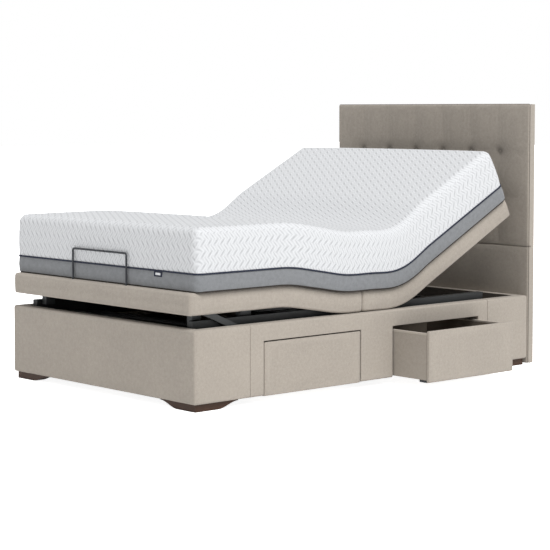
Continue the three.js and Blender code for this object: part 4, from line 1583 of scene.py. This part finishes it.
class DIVAN_OT_stage(bpy.types.Operator):
    """Pale floor, soft light and the camera"""

    bl_idname = "divan.stage"
    bl_label = "Stage"

    def execute(self, context):
        settings = context.scene.divan_stage
        self.add_floor()
        self.add_light(settings)
        self.add_camera(context, settings)
        context.scene.view_settings.view_transform = "Standard"
        return {"FINISHED"}

    def add_floor(self):
        reach = 40.0
        points = [(-reach, -reach, 0), (reach, -reach, 0), (reach, reach, 0), (-reach, reach, 0)]
        floor = piece_from("floor", points, [[0, 1, 2, 3]], smooth=False)
        paint = Finish("Pale floor", rough=0.9, Specular_IOR_Level=0.1, Emission_Strength=0.9)
        seen = paint.node("ShaderNodeLightPath").outputs["Is Camera Ray"]
        glow = paint.mix(seen, (0.12, 0.12, 0.12, 1), (1, 1, 1, 1))
        paint.tree.links.new(glow, paint.shader.inputs["Emission Color"])
        cloud = paint.noise(paint.place(), 0.7, 2.0, 0.5)
        paint.paint(paint.mix(cloud.clamp(), (0.965, 0.965, 0.965, 1), (0.985, 0.985, 0.985, 1)))
        floor.data.materials.append(paint.material)

    def add_light(self, settings):
        world = bpy.data.worlds.new("Studio")
        world.use_nodes = True
        tree = world.node_tree
        back = tree.nodes["Background"]
        back.inputs["Color"].default_value = (1, 1, 1, 1)
        path = tree.nodes.new("ShaderNodeLightPath")
        strength = tree.nodes.new("ShaderNodeMix")
        strength.inputs["A"].default_value = settings.sky
        strength.inputs["B"].default_value = 1.0
        tree.links.new(path.outputs["Is Camera Ray"], strength.inputs["Factor"])
        tree.links.new(strength.outputs["Result"], back.inputs["Strength"])
        bpy.context.scene.world = world
        key = bpy.data.lights.new("Key", "SUN")
        key.energy = settings.sun
        key.angle = math.radians(28)
        lamp = bpy.data.objects.new("Key", key)
        bpy.context.scene.collection.objects.link(lamp)
        toward = Vector((0.56, -0.09, 0.82))
        lamp.rotation_euler = toward.to_track_quat("Z", "Y").to_euler()

    def add_camera(self, context, settings):
        data = bpy.data.cameras.new("Camera")
        data.lens = settings.lens
        data.sensor_width = 36.0
        data.shift_y = -settings.camera_drop
        data.clip_end = 200.0
        camera = bpy.data.objects.new("Camera", data)
        camera.location = settings.camera_place
        camera.rotation_euler = (math.pi / 2 - settings.camera_tilt, 0.0, settings.camera_turn)
        context.scene.collection.objects.link(camera)
        context.scene.camera = camera


# --- panel and registration ---------------------------------------------------------------------

STEPS = (
    DIVAN_OT_box,
    DIVAN_OT_feet,
    DIVAN_OT_drawers,
    DIVAN_OT_mechanism,
    DIVAN_OT_platform,
    DIVAN_OT_mattress,
    DIVAN_OT_retainer,
    DIVAN_OT_headboard,
    DIVAN_OT_stage,
)

SETTINGS = {
    "divan_fabric": DivanFabricSettings,
    "divan_mattress": DivanMattressSettings,
    "divan_headboard": DivanHeadboardSettings,
    "divan_hardware": DivanHardwareSettings,
    "divan_stage": DivanStageSettings,
}


class DIVAN_PT_panel(bpy.types.Panel):
    """Lists the settings and the steps in order"""

    bl_idname = "DIVAN_PT_panel"
    bl_label = "Divan Bed"
    bl_space_type = "VIEW_3D"
    bl_region_type = "UI"
    bl_category = "Divan Bed"

    def draw(self, context):
        layout = self.layout
        for name, group in SETTINGS.items():
            box = layout.box()
            for key in group.__annotations__:
                box.prop(getattr(context.scene, name), key)
        for step in STEPS:
            layout.operator(step.bl_idname)


def register():
    for group in SETTINGS.values():
        bpy.utils.register_class(group)
    for name, group in SETTINGS.items():
        setattr(bpy.types.Scene, name, PointerProperty(type=group))
    for step in (*STEPS, DIVAN_PT_panel):
        bpy.utils.register_class(step)


def unregister():
    for step in reversed((*STEPS, DIVAN_PT_panel)):
        bpy.utils.unregister_class(step)
    for name, group in SETTINGS.items():
        delattr(bpy.types.Scene, name)
        bpy.utils.unregister_class(group)


def main():
    register()
    for step in STEPS:
        group, name = step.bl_idname.split(".")
        getattr(getattr(bpy.ops, group), name)()


if __name__ == "__main__":
    main()
